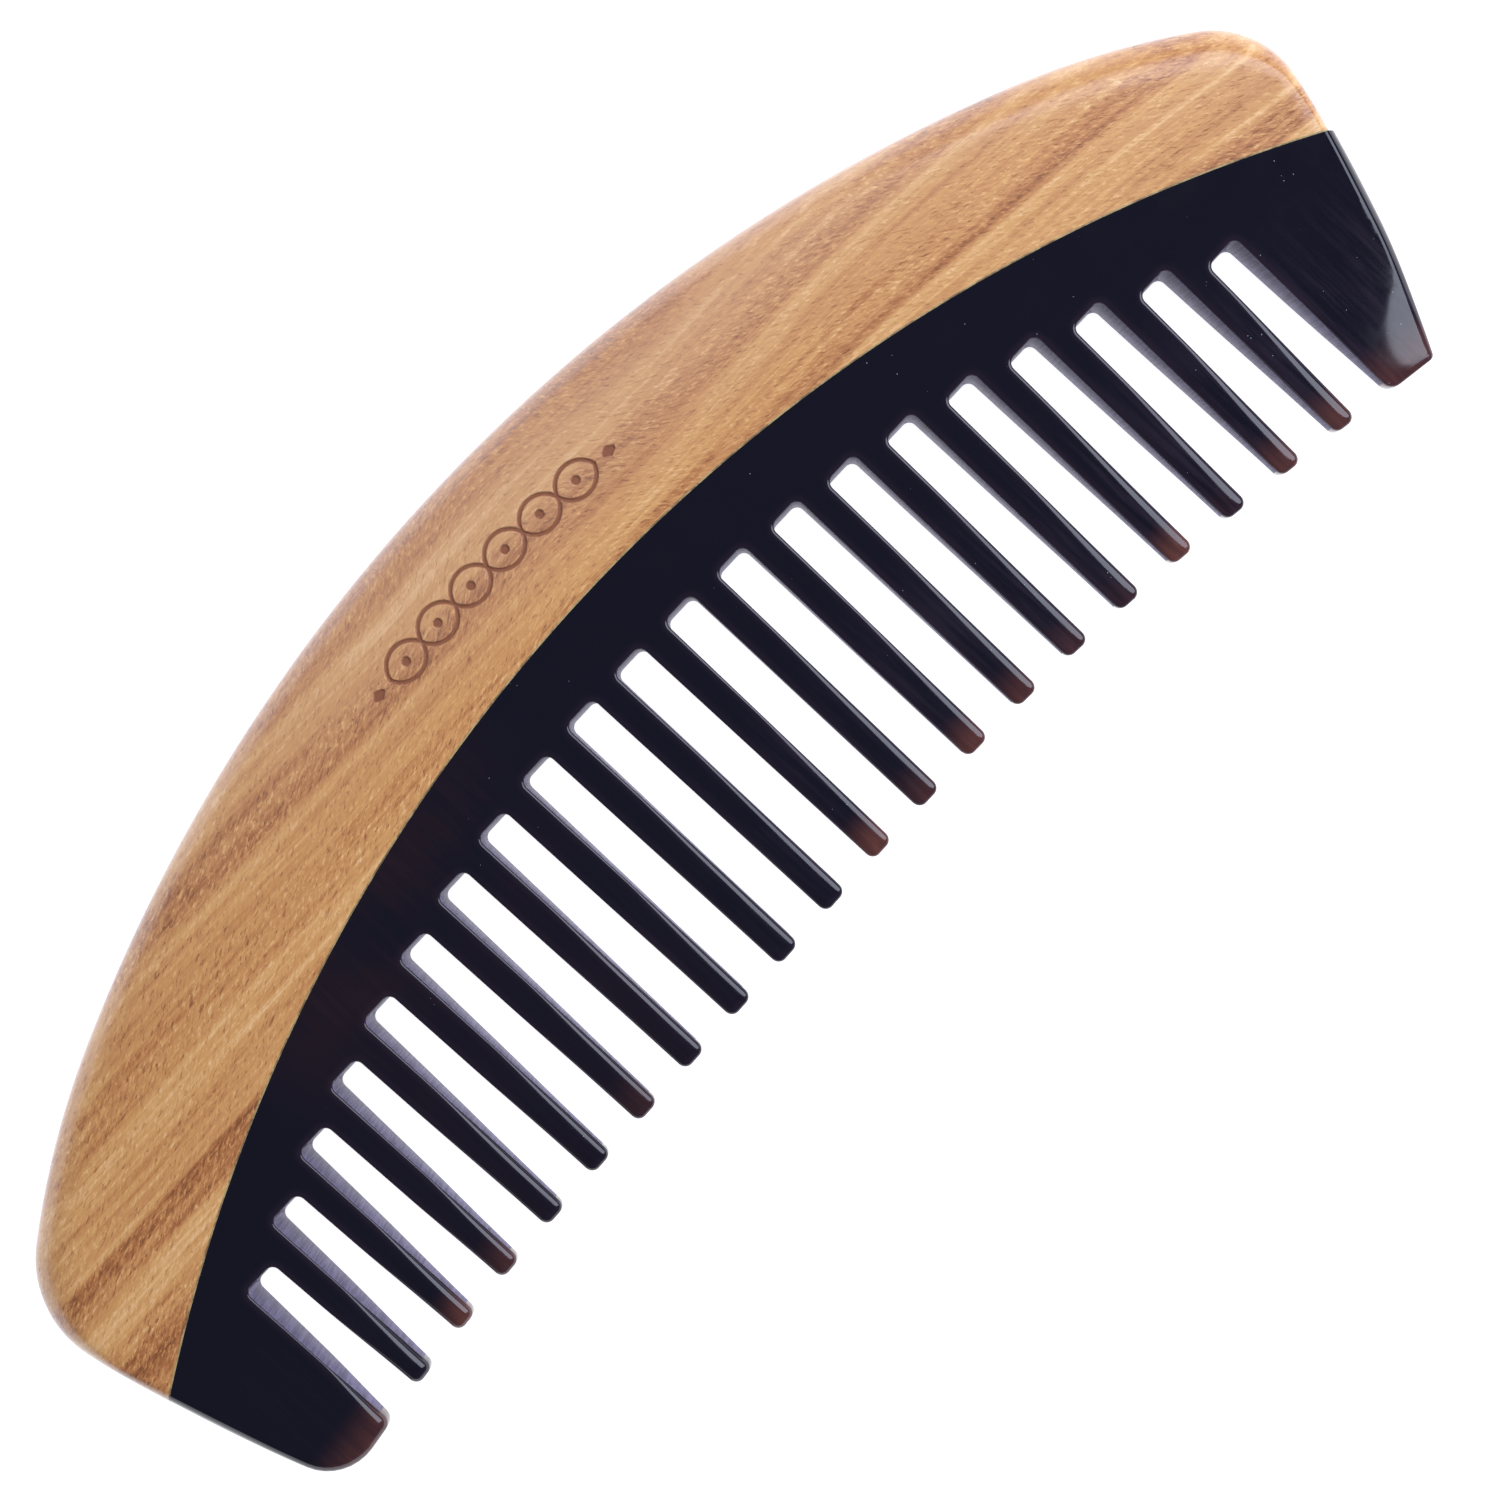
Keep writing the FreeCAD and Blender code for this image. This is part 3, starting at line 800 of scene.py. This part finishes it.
# ================ ornament
def ornament_points():
    """Points along the ornament's lines, and those inside its dots and lozenges."""
    radius = (WAVE_STEP**2 / 4 + WAVE_HEIGHT**2) / (2 * WAVE_HEIGHT)
    spread = math.degrees(math.asin(WAVE_STEP / 2 / radius))
    centre = np.array((WAVE_MIDDLE_X, HEIGHT / 2 - BACK_RADIUS))
    lines = []
    solids = []

    def placed(points, position):
        turn = math.radians(-position / WAVE_RADIUS * 180 / math.pi)
        turned = np.array([[math.cos(turn), -math.sin(turn)], [math.sin(turn), math.cos(turn)]])
        base = centre + WAVE_RADIUS * direction(90 + math.degrees(turn))
        return np.array(points) @ turned.T + base

    for eye in range(WAVE_EYES):
        position = (eye - (WAVE_EYES - 1) / 2) * WAVE_STEP
        for up in (1, -1):
            middle = np.array((0.0, up * (WAVE_HEIGHT - radius)))
            bow = arc_points(middle, radius, up * 90 - spread, up * 90 + spread, ORNAMENT_STEP)
            lines.append(placed(bow, position))
        disc = hex_grid((-DOT_RADIUS, -DOT_RADIUS), (DOT_RADIUS, DOT_RADIUS), ORNAMENT_STEP)
        disc = disc[np.hypot(disc[:, 0], disc[:, 1]) < DOT_RADIUS - WAVE_LINE / 2]
        solids.append(placed(disc, position))
    half_length = LOZENGE_LENGTH / 2
    half_width = LOZENGE_WIDTH / 2
    for side in (-1, 1):
        grid = hex_grid((-half_length, -half_width), (half_length, half_width), ORNAMENT_STEP)
        reach = np.abs(grid[:, 0]) / half_length + np.abs(grid[:, 1]) / half_width
        solids.append(placed(grid[reach < LOZENGE_FILL], side * LOZENGE_PLACE))
    return np.concatenate(lines + solids)


ORNAMENT = ornament_points()
ORNAMENT_LOW = ORNAMENT.min(axis=0) - WAVE_LINE
ORNAMENT_HIGH = ORNAMENT.max(axis=0) + WAVE_LINE


def near_ornament(points):
    """Which points of a grid lie close enough to the ornament to need a fine mesh."""
    return nearest(points, ORNAMENT[::ORNAMENT_COARSE])[1] < WAVE_LINE


def away_from_ornament(points):
    return ~near_ornament(points)


def engraving(points):
    """How deep the ornament is cut at each point, from 0 to 1."""
    inside = np.all((points > ORNAMENT_LOW) & (points < ORNAMENT_HIGH), axis=1)
    depth = np.zeros(len(points))
    distance = nearest(points[inside], ORNAMENT)[1]
    depth[inside] = 1 - smooth(distance, WAVE_LINE * LINE_FLOOR, WAVE_LINE * LINE_WALL)
    return depth


# ================ materials
def linear(red, green, blue):
    """A colour for a shader from its screen values of 0 to 255."""
    return tuple(((c / 255 + 0.055) / 1.055) ** 2.4 for c in (red, green, blue)) + (1.0,)


class Shading:
    """A material whose nodes are added one at a time; every value given may be another node's output."""

    def __init__(self, name):
        self.material = bpy.data.materials.new(name)
        self.material.use_nodes = True
        self.tree = self.material.node_tree
        self.tree.nodes.clear()
        output = self.node("OutputMaterial")
        self.shader = self.node("BsdfPrincipled")
        self.tree.links.new(self.shader.outputs["BSDF"], output.inputs["Surface"])

    def node(self, kind):
        return self.tree.nodes.new("ShaderNode" + kind)

    def feed(self, socket, value):
        if isinstance(value, bpy.types.NodeSocket):
            self.tree.links.new(value, socket)
        else:
            socket.default_value = value

    def set(self, **values):
        """Sets or links the shader's own sockets; an underscore stands for a space in a socket's name."""
        for name, value in values.items():
            self.feed(self.shader.inputs[name.replace("_", " ")], value)

    def place(self):
        """The point's place on the object in millimetres."""
        coordinates = self.node("TexCoord")
        return self.stretch(coordinates.outputs["Object"], (1 / MM, 1 / MM, 1 / MM))

    def stretch(self, vector, factors):
        node = self.node("VectorMath")
        node.operation = "MULTIPLY"
        self.feed(node.inputs[0], vector)
        self.feed(node.inputs[1], factors)
        return node.outputs[0]

    def split(self, vector):
        node = self.node("SeparateXYZ")
        self.feed(node.inputs[0], vector)
        return node.outputs[0], node.outputs[1], node.outputs[2]

    def join(self, x, y, z):
        node = self.node("CombineXYZ")
        for socket, value in zip(node.inputs, (x, y, z)):
            self.feed(socket, value)
        return node.outputs[0]

    def math(self, operation, *values):
        node = self.node("Math")
        node.operation = operation
        for socket, value in zip(node.inputs, values):
            self.feed(socket, value)
        return node.outputs[0]

    def times(self, first, second):
        return self.math("MULTIPLY", first, second)

    def total(self, *values):
        result = values[0]
        for value in values[1:]:
            result = self.math("ADD", result, value)
        return result

    def noise(self, vector, frequencies, detail=2.0, roughness=0.5):
        """Noise from 0 to 1, at a frequency per millimetre along each axis."""
        node = self.node("TexNoise")
        self.feed(node.inputs["Vector"], self.stretch(vector, frequencies))
        self.feed(node.inputs["Scale"], 1.0)
        self.feed(node.inputs["Detail"], detail)
        self.feed(node.inputs["Roughness"], roughness)
        return node.outputs["Fac"]

    def swing(self, value, size):
        """Noise turned into a swing of this size about zero."""
        return self.math("MULTIPLY_ADD", value, 2 * size, -size)

    def span(self, value, low, high, first=0.0, last=1.0, smoothly=True):
        """Turns low and high into first and last, held at both ends."""
        node = self.node("MapRange")
        node.interpolation_type = "SMOOTHSTEP" if smoothly else "LINEAR"
        for socket, number in zip(node.inputs, (value, low, high, first, last)):
            self.feed(socket, number)
        return node.outputs["Result"]

    def ramp(self, value, stops):
        """Colours or grey levels along a value; stops are pairs of a position and a colour."""
        node = self.node("ValToRGB")
        marks = node.color_ramp.elements
        while len(marks) < len(stops):
            marks.new(1.0)
        for mark, (position, colour) in zip(marks, stops):
            mark.position = position
        for mark, (position, colour) in zip(marks, stops):
            mark.color = colour if isinstance(colour, tuple) else (colour, colour, colour, 1.0)
        self.feed(node.inputs["Fac"], value)
        return node.outputs["Color"]

    def mix(self, share, first, second):
        node = self.node("Mix")
        node.data_type = "RGBA"
        for name, value in (("Factor_Float", share), ("A_Color", first), ("B_Color", second)):
            socket = next(s for s in node.inputs if s.identifier == name)
            self.feed(socket, value)
        return next(s for s in node.outputs if s.identifier == "Result_Color")

    def mark(self, name):
        """A value that the mesh carries at its points."""
        node = self.node("Attribute")
        node.attribute_name = name
        return node.outputs["Fac"]

    def bump(self, height, depth, before=None):
        """Relief as deep as this many millimetres where the height goes from 0 to 1."""
        node = self.node("Bump")
        self.feed(node.inputs["Strength"], 1.0)
        self.feed(node.inputs["Distance"], depth * MM)
        self.feed(node.inputs["Height"], height)
        if before is not None:
            self.feed(node.inputs["Normal"], before)
        return node.outputs["Normal"]


# The wood's bands across the grain: places in millimetres towards the back, and tones from 0 for
# the darkest red-brown to 1 for the palest gold.
WOOD_BANDS = (
    (-11.0, 0.50),
    (-7.0, 0.30),
    (-4.8, 0.42),
    (-3.2, 0.68),
    (-1.0, 0.70),
    (-0.3, 0.30),
    (1.8, 0.26),
    (2.7, 0.60),
    (5.0, 0.58),
    (6.4, 0.50),
    (7.5, 0.66),
    (9.6, 0.68),
    (10.4, 0.48),
    (13.2, 0.44),
    (14.4, 0.58),
    (16.6, 0.64),
    (18.2, 0.56),
    (19.4, 0.29),
    (21.2, 0.33),
    (22.6, 0.64),
    (24.6, 0.68),
    (26.4, 0.40),
    (29.5, 0.34),
)
WOOD_TONES = (
    (0.0, linear(134, 82, 48)),
    (0.22, linear(174, 112, 64)),
    (0.48, linear(201, 144, 89)),
    (0.72, linear(215, 163, 101)),
    (1.0, linear(236, 194, 142)),
)
WOOD_BURNT = linear(142, 88, 60)
# A pale rose: partly the wood's own pinker tone, partly a painted sheen of light on the rolled back edge
WOOD_ROSE_SHEEN = linear(208, 172, 150)
GRAIN_BEND = 0.0009
GRAIN_BEND_START = 5.0
GRAIN_WANDER = 0.9
GRAIN_DIP = 0.35
GRAIN_SLANT = 0.45
# How strongly each part of the figure moves the tone, from 0 to 1; pores fade towards the right.
BLOTCHES = 0.28
STREAKS = 0.54
THREADS = 0.20
STRIPES = 0.42
RIPPLES = 0.62
FLECKS = 0.36
PORES = (-0.27, -0.20)
# The pale rose tint's share from the left to the right: partly the wood's pinker tone, partly painted
# sheen.
ROSE_SHEEN = (0.12, 0.34)
WOOD_RELIEF = 0.022


def wood():
    """Oiled, polished hardwood: bands along the comb, streaks, pores and short ripple marks."""
    shading = Shading("wood")
    place = shading.place()
    x, y, z = shading.split(place)
    right = shading.math("MAXIMUM", shading.math("ADD", x, -GRAIN_BEND_START), 0.0)
    bend = shading.times(shading.times(right, right), GRAIN_BEND)
    wander = shading.swing(shading.noise(place, (0.02, 0.045, 0.045), 1.0), GRAIN_WANDER * 2)
    depth = shading.math("MULTIPLY_ADD", z, GRAIN_DIP, -2 * HALF_THICKNESS * GRAIN_DIP)
    level = shading.total(y, bend, wander, depth)
    grain = shading.join(x, level, z)

    first, last = WOOD_BANDS[0][0], WOOD_BANDS[-1][0]
    across = shading.span(level, first, last, smoothly=False)
    bands = shading.ramp(across, [((at - first) / (last - first), tone) for at, tone in WOOD_BANDS])
    blotches = shading.noise(grain, (0.022, 0.30, 0.30), 2.0)
    streaks = shading.noise(grain, (0.028, 1.1, 1.1), 3.0, 0.62)
    threads = shading.noise(grain, (0.10, 6.0, 6.0), 2.0, 0.6)
    stripes = shading.noise(grain, (0.012, 0.5, 0.5), 1.0)
    dark_band = shading.span(bands, 0.34, 0.60, 1.0, 0.0)
    rising = shading.join(x, shading.math("MULTIPLY_ADD", x, -GRAIN_SLANT, level), z)
    falling = shading.join(x, shading.math("MULTIPLY_ADD", x, GRAIN_SLANT, level), z)
    slant = shading.mix(shading.span(x, -12.0, 20.0), rising, falling)
    ripple = shading.noise(slant, (0.9, 3.0, 2.0), 3.0, 0.7)
    rippled = shading.math("MULTIPLY_ADD", dark_band, 0.5, 0.5)
    pores = shading.span(shading.noise(slant, (1.3, 4.4, 3.0), 2.0, 0.5), 0.61, 0.68)
    flecks = shading.span(shading.noise(slant, (1.6, 4.0, 3.0), 2.0, 0.6), 0.55, 0.66)

    tone = shading.total(
        bands,
        shading.swing(blotches, BLOTCHES),
        shading.swing(streaks, STREAKS),
        shading.swing(threads, THREADS),
        shading.times(shading.swing(stripes, STRIPES), shading.span(x, 5.0, 45.0)),
        shading.times(shading.swing(ripple, RIPPLES), rippled),
        shading.times(pores, shading.span(x, 0.0, 40.0, *PORES)),
        shading.times(shading.times(flecks, rippled), FLECKS),
    )
    burnt = shading.mark("engraved")
    # A pale rose tint towards the back edge that grows to the right: partly the wood's own tone, partly
    # painted sheen of light on the rolled edge.
    rosy_sheen = shading.times(shading.span(level, 12.0, 26.0), shading.span(x, -60.0, 10.0, *ROSE_SHEEN))
    sheened = shading.mix(rosy_sheen, shading.ramp(tone, WOOD_TONES), WOOD_ROSE_SHEEN)
    colour = shading.mix(burnt, sheened, WOOD_BURNT)
    relief = shading.total(
        shading.times(threads, 0.5),
        shading.times(ripple, 0.6),
        shading.times(pores, -1.0),
    )
    gloss = shading.total(
        shading.span(streaks, 0.3, 0.7, 0.36, 0.50),
        shading.times(pores, 0.15),
        shading.times(burnt, 0.2),
    )
    shading.set(Base_Color=colour, Roughness=gloss, Normal=shading.bump(relief, WOOD_RELIEF))
    shading.set(Coat_Weight=0.9, Coat_Roughness=0.2, Sheen_Weight=0.35, Sheen_Roughness=0.4)
    shading.set(Sheen_Tint=linear(255, 240, 245))
    return shading.material


HORN_DARK = linear(13, 12, 28)
HORN_BROWN = linear(36, 21, 29)
HORN_STREAK = linear(41, 34, 49)
# The colour of a painted glow of light shining through the horn's thin edges
HORN_EDGE_GLOW = linear(56, 40, 56)
HORN_TIP = linear(108, 64, 56)
HORN_DUST = linear(165, 180, 210)
SAWN_PALE = linear(117, 110, 148)
SAWN_DARK = linear(68, 61, 98)
BROWN_REACH = 4.8
BROWN_CLOUD_X = -33.0
DUST_SIZE = 0.055
DUST_STRENGTH = 0.7
SAW_SLANT = 0.05
SAW_RELIEF = 0.05
POLISH_RELIEF = 0.02
POLISH_ROUGHNESS = (0.07, 0.14)
SAWN_ROUGHNESS = 0.8


def horn():
    """Polished buffalo horn: near black, brown at some tips, matt lilac grey where it is sawn."""
    shading = Shading("horn")
    place = shading.place()
    x, y, z = shading.split(place)

    # Height over the line of the tooth tips, which is an arc.
    along = shading.math("ADD", x, -TIP_X)
    drop = shading.times(shading.times(along, along), 0.5 / TIP_RADIUS)
    height = shading.total(y, drop, -TIP_TOP)
    clouds = shading.noise(place, (0.035, 0.05, 0.08), 2.0)
    fibres = shading.noise(place, (1.3, 0.05, 0.9), 3.0, 0.6)
    shade = shading.total(clouds, shading.swing(fibres, 0.12))
    beside = shading.math("ABSOLUTE", shading.math("ADD", x, -BROWN_CLOUD_X))
    brown = shading.times(shading.span(shade, 0.3, 0.56), shading.span(beside, 8.0, 22.0, 1.0, 0.0))
    brown = shading.times(brown, shading.span(height, 18.0, 30.0, 0.25, 1.0))
    body = shading.mix(brown, HORN_DARK, HORN_BROWN)
    on_tooth = shading.span(height, 8.0, 22.0, 0.7, 0.0)
    on_tooth = shading.times(on_tooth, shading.span(x, -30.0, 30.0, 0.1, 1.0))
    streaked = shading.times(shading.span(fibres, 0.40, 0.68), on_tooth)
    body = shading.mix(streaked, body, HORN_STREAK)
    # Painted glow: a brown-purple tint along every edge, fading over 0.9 mm inwards, stands in for light
    # shining through the thin horn there.
    edge_glow = shading.times(shading.span(shading.mark("inset"), 0.0, 0.9, 0.6, 0.0), shade)
    body = shading.mix(edge_glow, body, HORN_EDGE_GLOW)

    near_tip = shading.span(height, 0.4, BROWN_REACH, 1.0, 0.0)
    uneven = shading.span(fibres, 0.3, 0.7, 0.65, 1.0)
    clear = shading.times(shading.mark("clear"), shading.times(near_tip, uneven))
    polished = shading.mix(clear, body, HORN_TIP)

    speckle = shading.node("TexVoronoi")
    shading.feed(speckle.inputs["Vector"], shading.stretch(place, (1.1, 1.1, 1.1)))
    shading.feed(speckle.inputs["Scale"], 1.0)
    spread = shading.math("MULTIPLY_ADD", x, 0.0015, shading.noise(place, (0.3, 0.3, 0.3), 1.0))
    size = shading.span(spread, 0.46, 0.74, 0.0, DUST_SIZE)
    dust = shading.math("LESS_THAN", speckle.outputs["Distance"], size)
    polished = shading.mix(shading.times(dust, DUST_STRENGTH), polished, HORN_DUST)

    # Saw marks run through the thickness, a fraction of a millimetre apart.
    slant = shading.join(x, shading.math("MULTIPLY_ADD", z, SAW_SLANT, y), z)
    marks = shading.noise(slant, (0.08, 3.4, 0.12), 4.0, 0.8)
    sawn = shading.span(shading.mark("sawn"), 0.45, 0.9)
    wall = shading.mix(shading.span(marks, 0.32, 0.68), SAWN_DARK, SAWN_PALE)
    colour = shading.mix(sawn, polished, wall)

    rubbed = shading.noise(place, (0.25, 0.25, 0.25), 4.0, 0.6)
    wear = shading.span(rubbed, 0.35, 0.7, *POLISH_ROUGHNESS)
    gloss = shading.total(wear, shading.times(sawn, SAWN_ROUGHNESS), shading.times(dust, 0.3))
    waves = shading.bump(shading.noise(place, (0.16, 0.10, 0.16), 2.0), POLISH_RELIEF)
    cut = shading.bump(shading.times(marks, sawn), SAW_RELIEF, waves)
    shading.set(Base_Color=colour, Roughness=gloss, Normal=cut)
    shading.set(IOR=1.54, Coat_Weight=0.25, Coat_Roughness=0.05)
    return shading.material


def glue():
    """Dried adhesive: pale yellow, cloudy, a little glossy."""
    shading = Shading("glue")
    place = shading.place()
    clouds = shading.noise(place, (0.5, 0.5, 0.5), 3.0)
    grains = shading.noise(place, (4.0, 4.0, 4.0), 2.0)
    shade = shading.total(clouds, shading.swing(grains, 0.2))
    colour = shading.mix(shading.span(shade, 0.35, 0.65), linear(116, 98, 66), linear(178, 160, 112))
    shading.set(Base_Color=colour, Roughness=shading.span(grains, 0.3, 0.7, 0.35, 0.55))
    shading.set(Normal=shading.bump(grains, 0.01))
    return shading.material


def paper():
    """The pale floor: a light table's frosted sheet, which hardly shows a shadow."""
    shading = Shading("paper")
    fibres = shading.noise(shading.place(), (0.4, 0.4, 0.4), 4.0, 0.6)
    colour = shading.mix(fibres, linear(146, 147, 152), linear(158, 159, 163))
    shading.set(Base_Color=colour, Roughness=0.9, Normal=shading.bump(fibres, 0.02))
    shading.set(Emission_Color=linear(252, 252, 255), Emission_Strength=1.0)
    return shading.material


# ================ build
low_corner = (-LENGTH / 2, -HEIGHT / 2)
high_corner = (LENGTH / 2, HEIGHT / 2)
back_outline = back_path(COMB)
back_grids = [
    (low_corner, high_corner, WOOD_GRID, away_from_ornament),
    (ORNAMENT_LOW, ORNAMENT_HIGH, ORNAMENT_GRID, near_ornament),
]
film_grids = [(low_corner, high_corner, FILM_GRID, None)]
plate_grids = [(low_corner, high_corner, PLATE_GRID, None)]
back_mesh = board("wood_back_mesh", back_outline, back_grids, engraving)
film_mesh = board("glue_film_mesh", back_outline, film_grids)
plate_mesh = board("horn_plate_mesh", plate_path(PLATE), plate_grids)
cut_between(back_mesh, None, -GLUE_GAP / 2)
cut_between(film_mesh, -GLUE_GAP / 2, GLUE_GAP / 2)
cut_between(plate_mesh, GLUE_GAP / 2, None)

back = finished("back_of_wood", back_mesh, wood())
plate = finished("plate_of_horn", plate_mesh, horn())
film = finished("line_of_glue", film_mesh, glue())
for piece, node, slot in (
    (back, "wood_back", "wood"),
    (plate, "horn_tooth_plate", "horn"),
    (film, "glue_film", "glue"),
):
    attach(piece, "root")
    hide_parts(node)

# ================ floor, light and camera
FLOOR_HALF = 1.5
quarters = ((-1, -1), (1, -1), (1, 1), (-1, 1))
floor_corners = [(FLOOR_HALF * x, FLOOR_HALF * y, 0) for x, y in quarters]
floor_mesh = bpy.data.meshes.new("floor_mesh")
floor_mesh.from_pydata(floor_corners, [], [(0, 1, 2, 3)])
floor_mesh.materials.append(paper())
floor = linked("floor", floor_mesh)

# A white room that is dark overhead, so that the polished horn mirrors black from above.
# Heights are sines of the angle above level.
HORIZON = (1.5, 1.55, 1.7, 1.0)
HORIZON_HEIGHT = 0.12
ZENITH = (0.095, 0.097, 0.125, 1.0)
ZENITH_HEIGHT = 0.30
world = bpy.data.worlds.new("world")
bpy.context.scene.world = world
world.use_nodes = True
sky = world.node_tree
direction_node = sky.nodes.new("ShaderNodeTexCoord")
split_node = sky.nodes.new("ShaderNodeSeparateXYZ")
blend_node = sky.nodes.new("ShaderNodeValToRGB")
sky.links.new(direction_node.outputs["Generated"], split_node.inputs[0])
sky.links.new(split_node.outputs[2], blend_node.inputs["Fac"])
sky.links.new(blend_node.outputs["Color"], sky.nodes["Background"].inputs["Color"])
low_mark, high_mark = blend_node.color_ramp.elements
low_mark.position = HORIZON_HEIGHT
low_mark.color = HORIZON
high_mark.position = ZENITH_HEIGHT
high_mark.color = ZENITH


def softbox(name, tilt, azimuth, distance, size, radiance, colour):
    """A rectangular area light aimed at the comb, tilted from overhead towards an azimuth."""
    data = bpy.data.lights.new(name, "AREA")
    data.shape = "RECTANGLE"
    data.size, data.size_y = size
    data.energy = radiance * math.pi * size[0] * size[1]
    data.color = colour
    light = linked(name, data)
    level = math.sin(math.radians(tilt))
    aim = Vector((*(level * direction(azimuth)), math.cos(math.radians(tilt))))
    light.location = aim * distance
    light.rotation_euler = aim.to_track_quat("Z", "Y").to_euler()
    return light


key_place = {"tilt": 38.0, "azimuth": 0.0, "distance": 0.68}
fill_place = {"tilt": 30.0, "azimuth": 0.0, "distance": 0.65}
softbox("key", **key_place, size=(0.9, 0.32), radiance=3.3, colour=(0.88, 0.95, 1.12))
fill = softbox("fill", **fill_place, size=(0.6, 0.6), radiance=2.3, colour=(1.05, 0.99, 0.93))
fill.visible_glossy = False

# The camera looks straight down, turned about the upright so that the comb lies aslant.
CAMERA_HEIGHT = 275.0
CAMERA_X = 3.36
CAMERA_Y = -12.25
CAMERA_TURN = -46.9
LENS = 70.2
LENS_SHIFT = (-0.0297, 0.0073)
camera_data = bpy.data.cameras.new("camera")
camera_data.sensor_width = 36.0
camera_data.lens = LENS
camera_data.shift_x, camera_data.shift_y = LENS_SHIFT
camera = linked("camera", camera_data)
place = Vector((CAMERA_X, CAMERA_Y, HALF_THICKNESS + CAMERA_HEIGHT)) * MM
turn = Matrix.Rotation(math.radians(CAMERA_TURN), 4, "Z")
camera.matrix_world = Matrix.Translation(place) @ turn
bpy.context.scene.camera = camera
bpy.context.scene.view_settings.view_transform = "Standard"
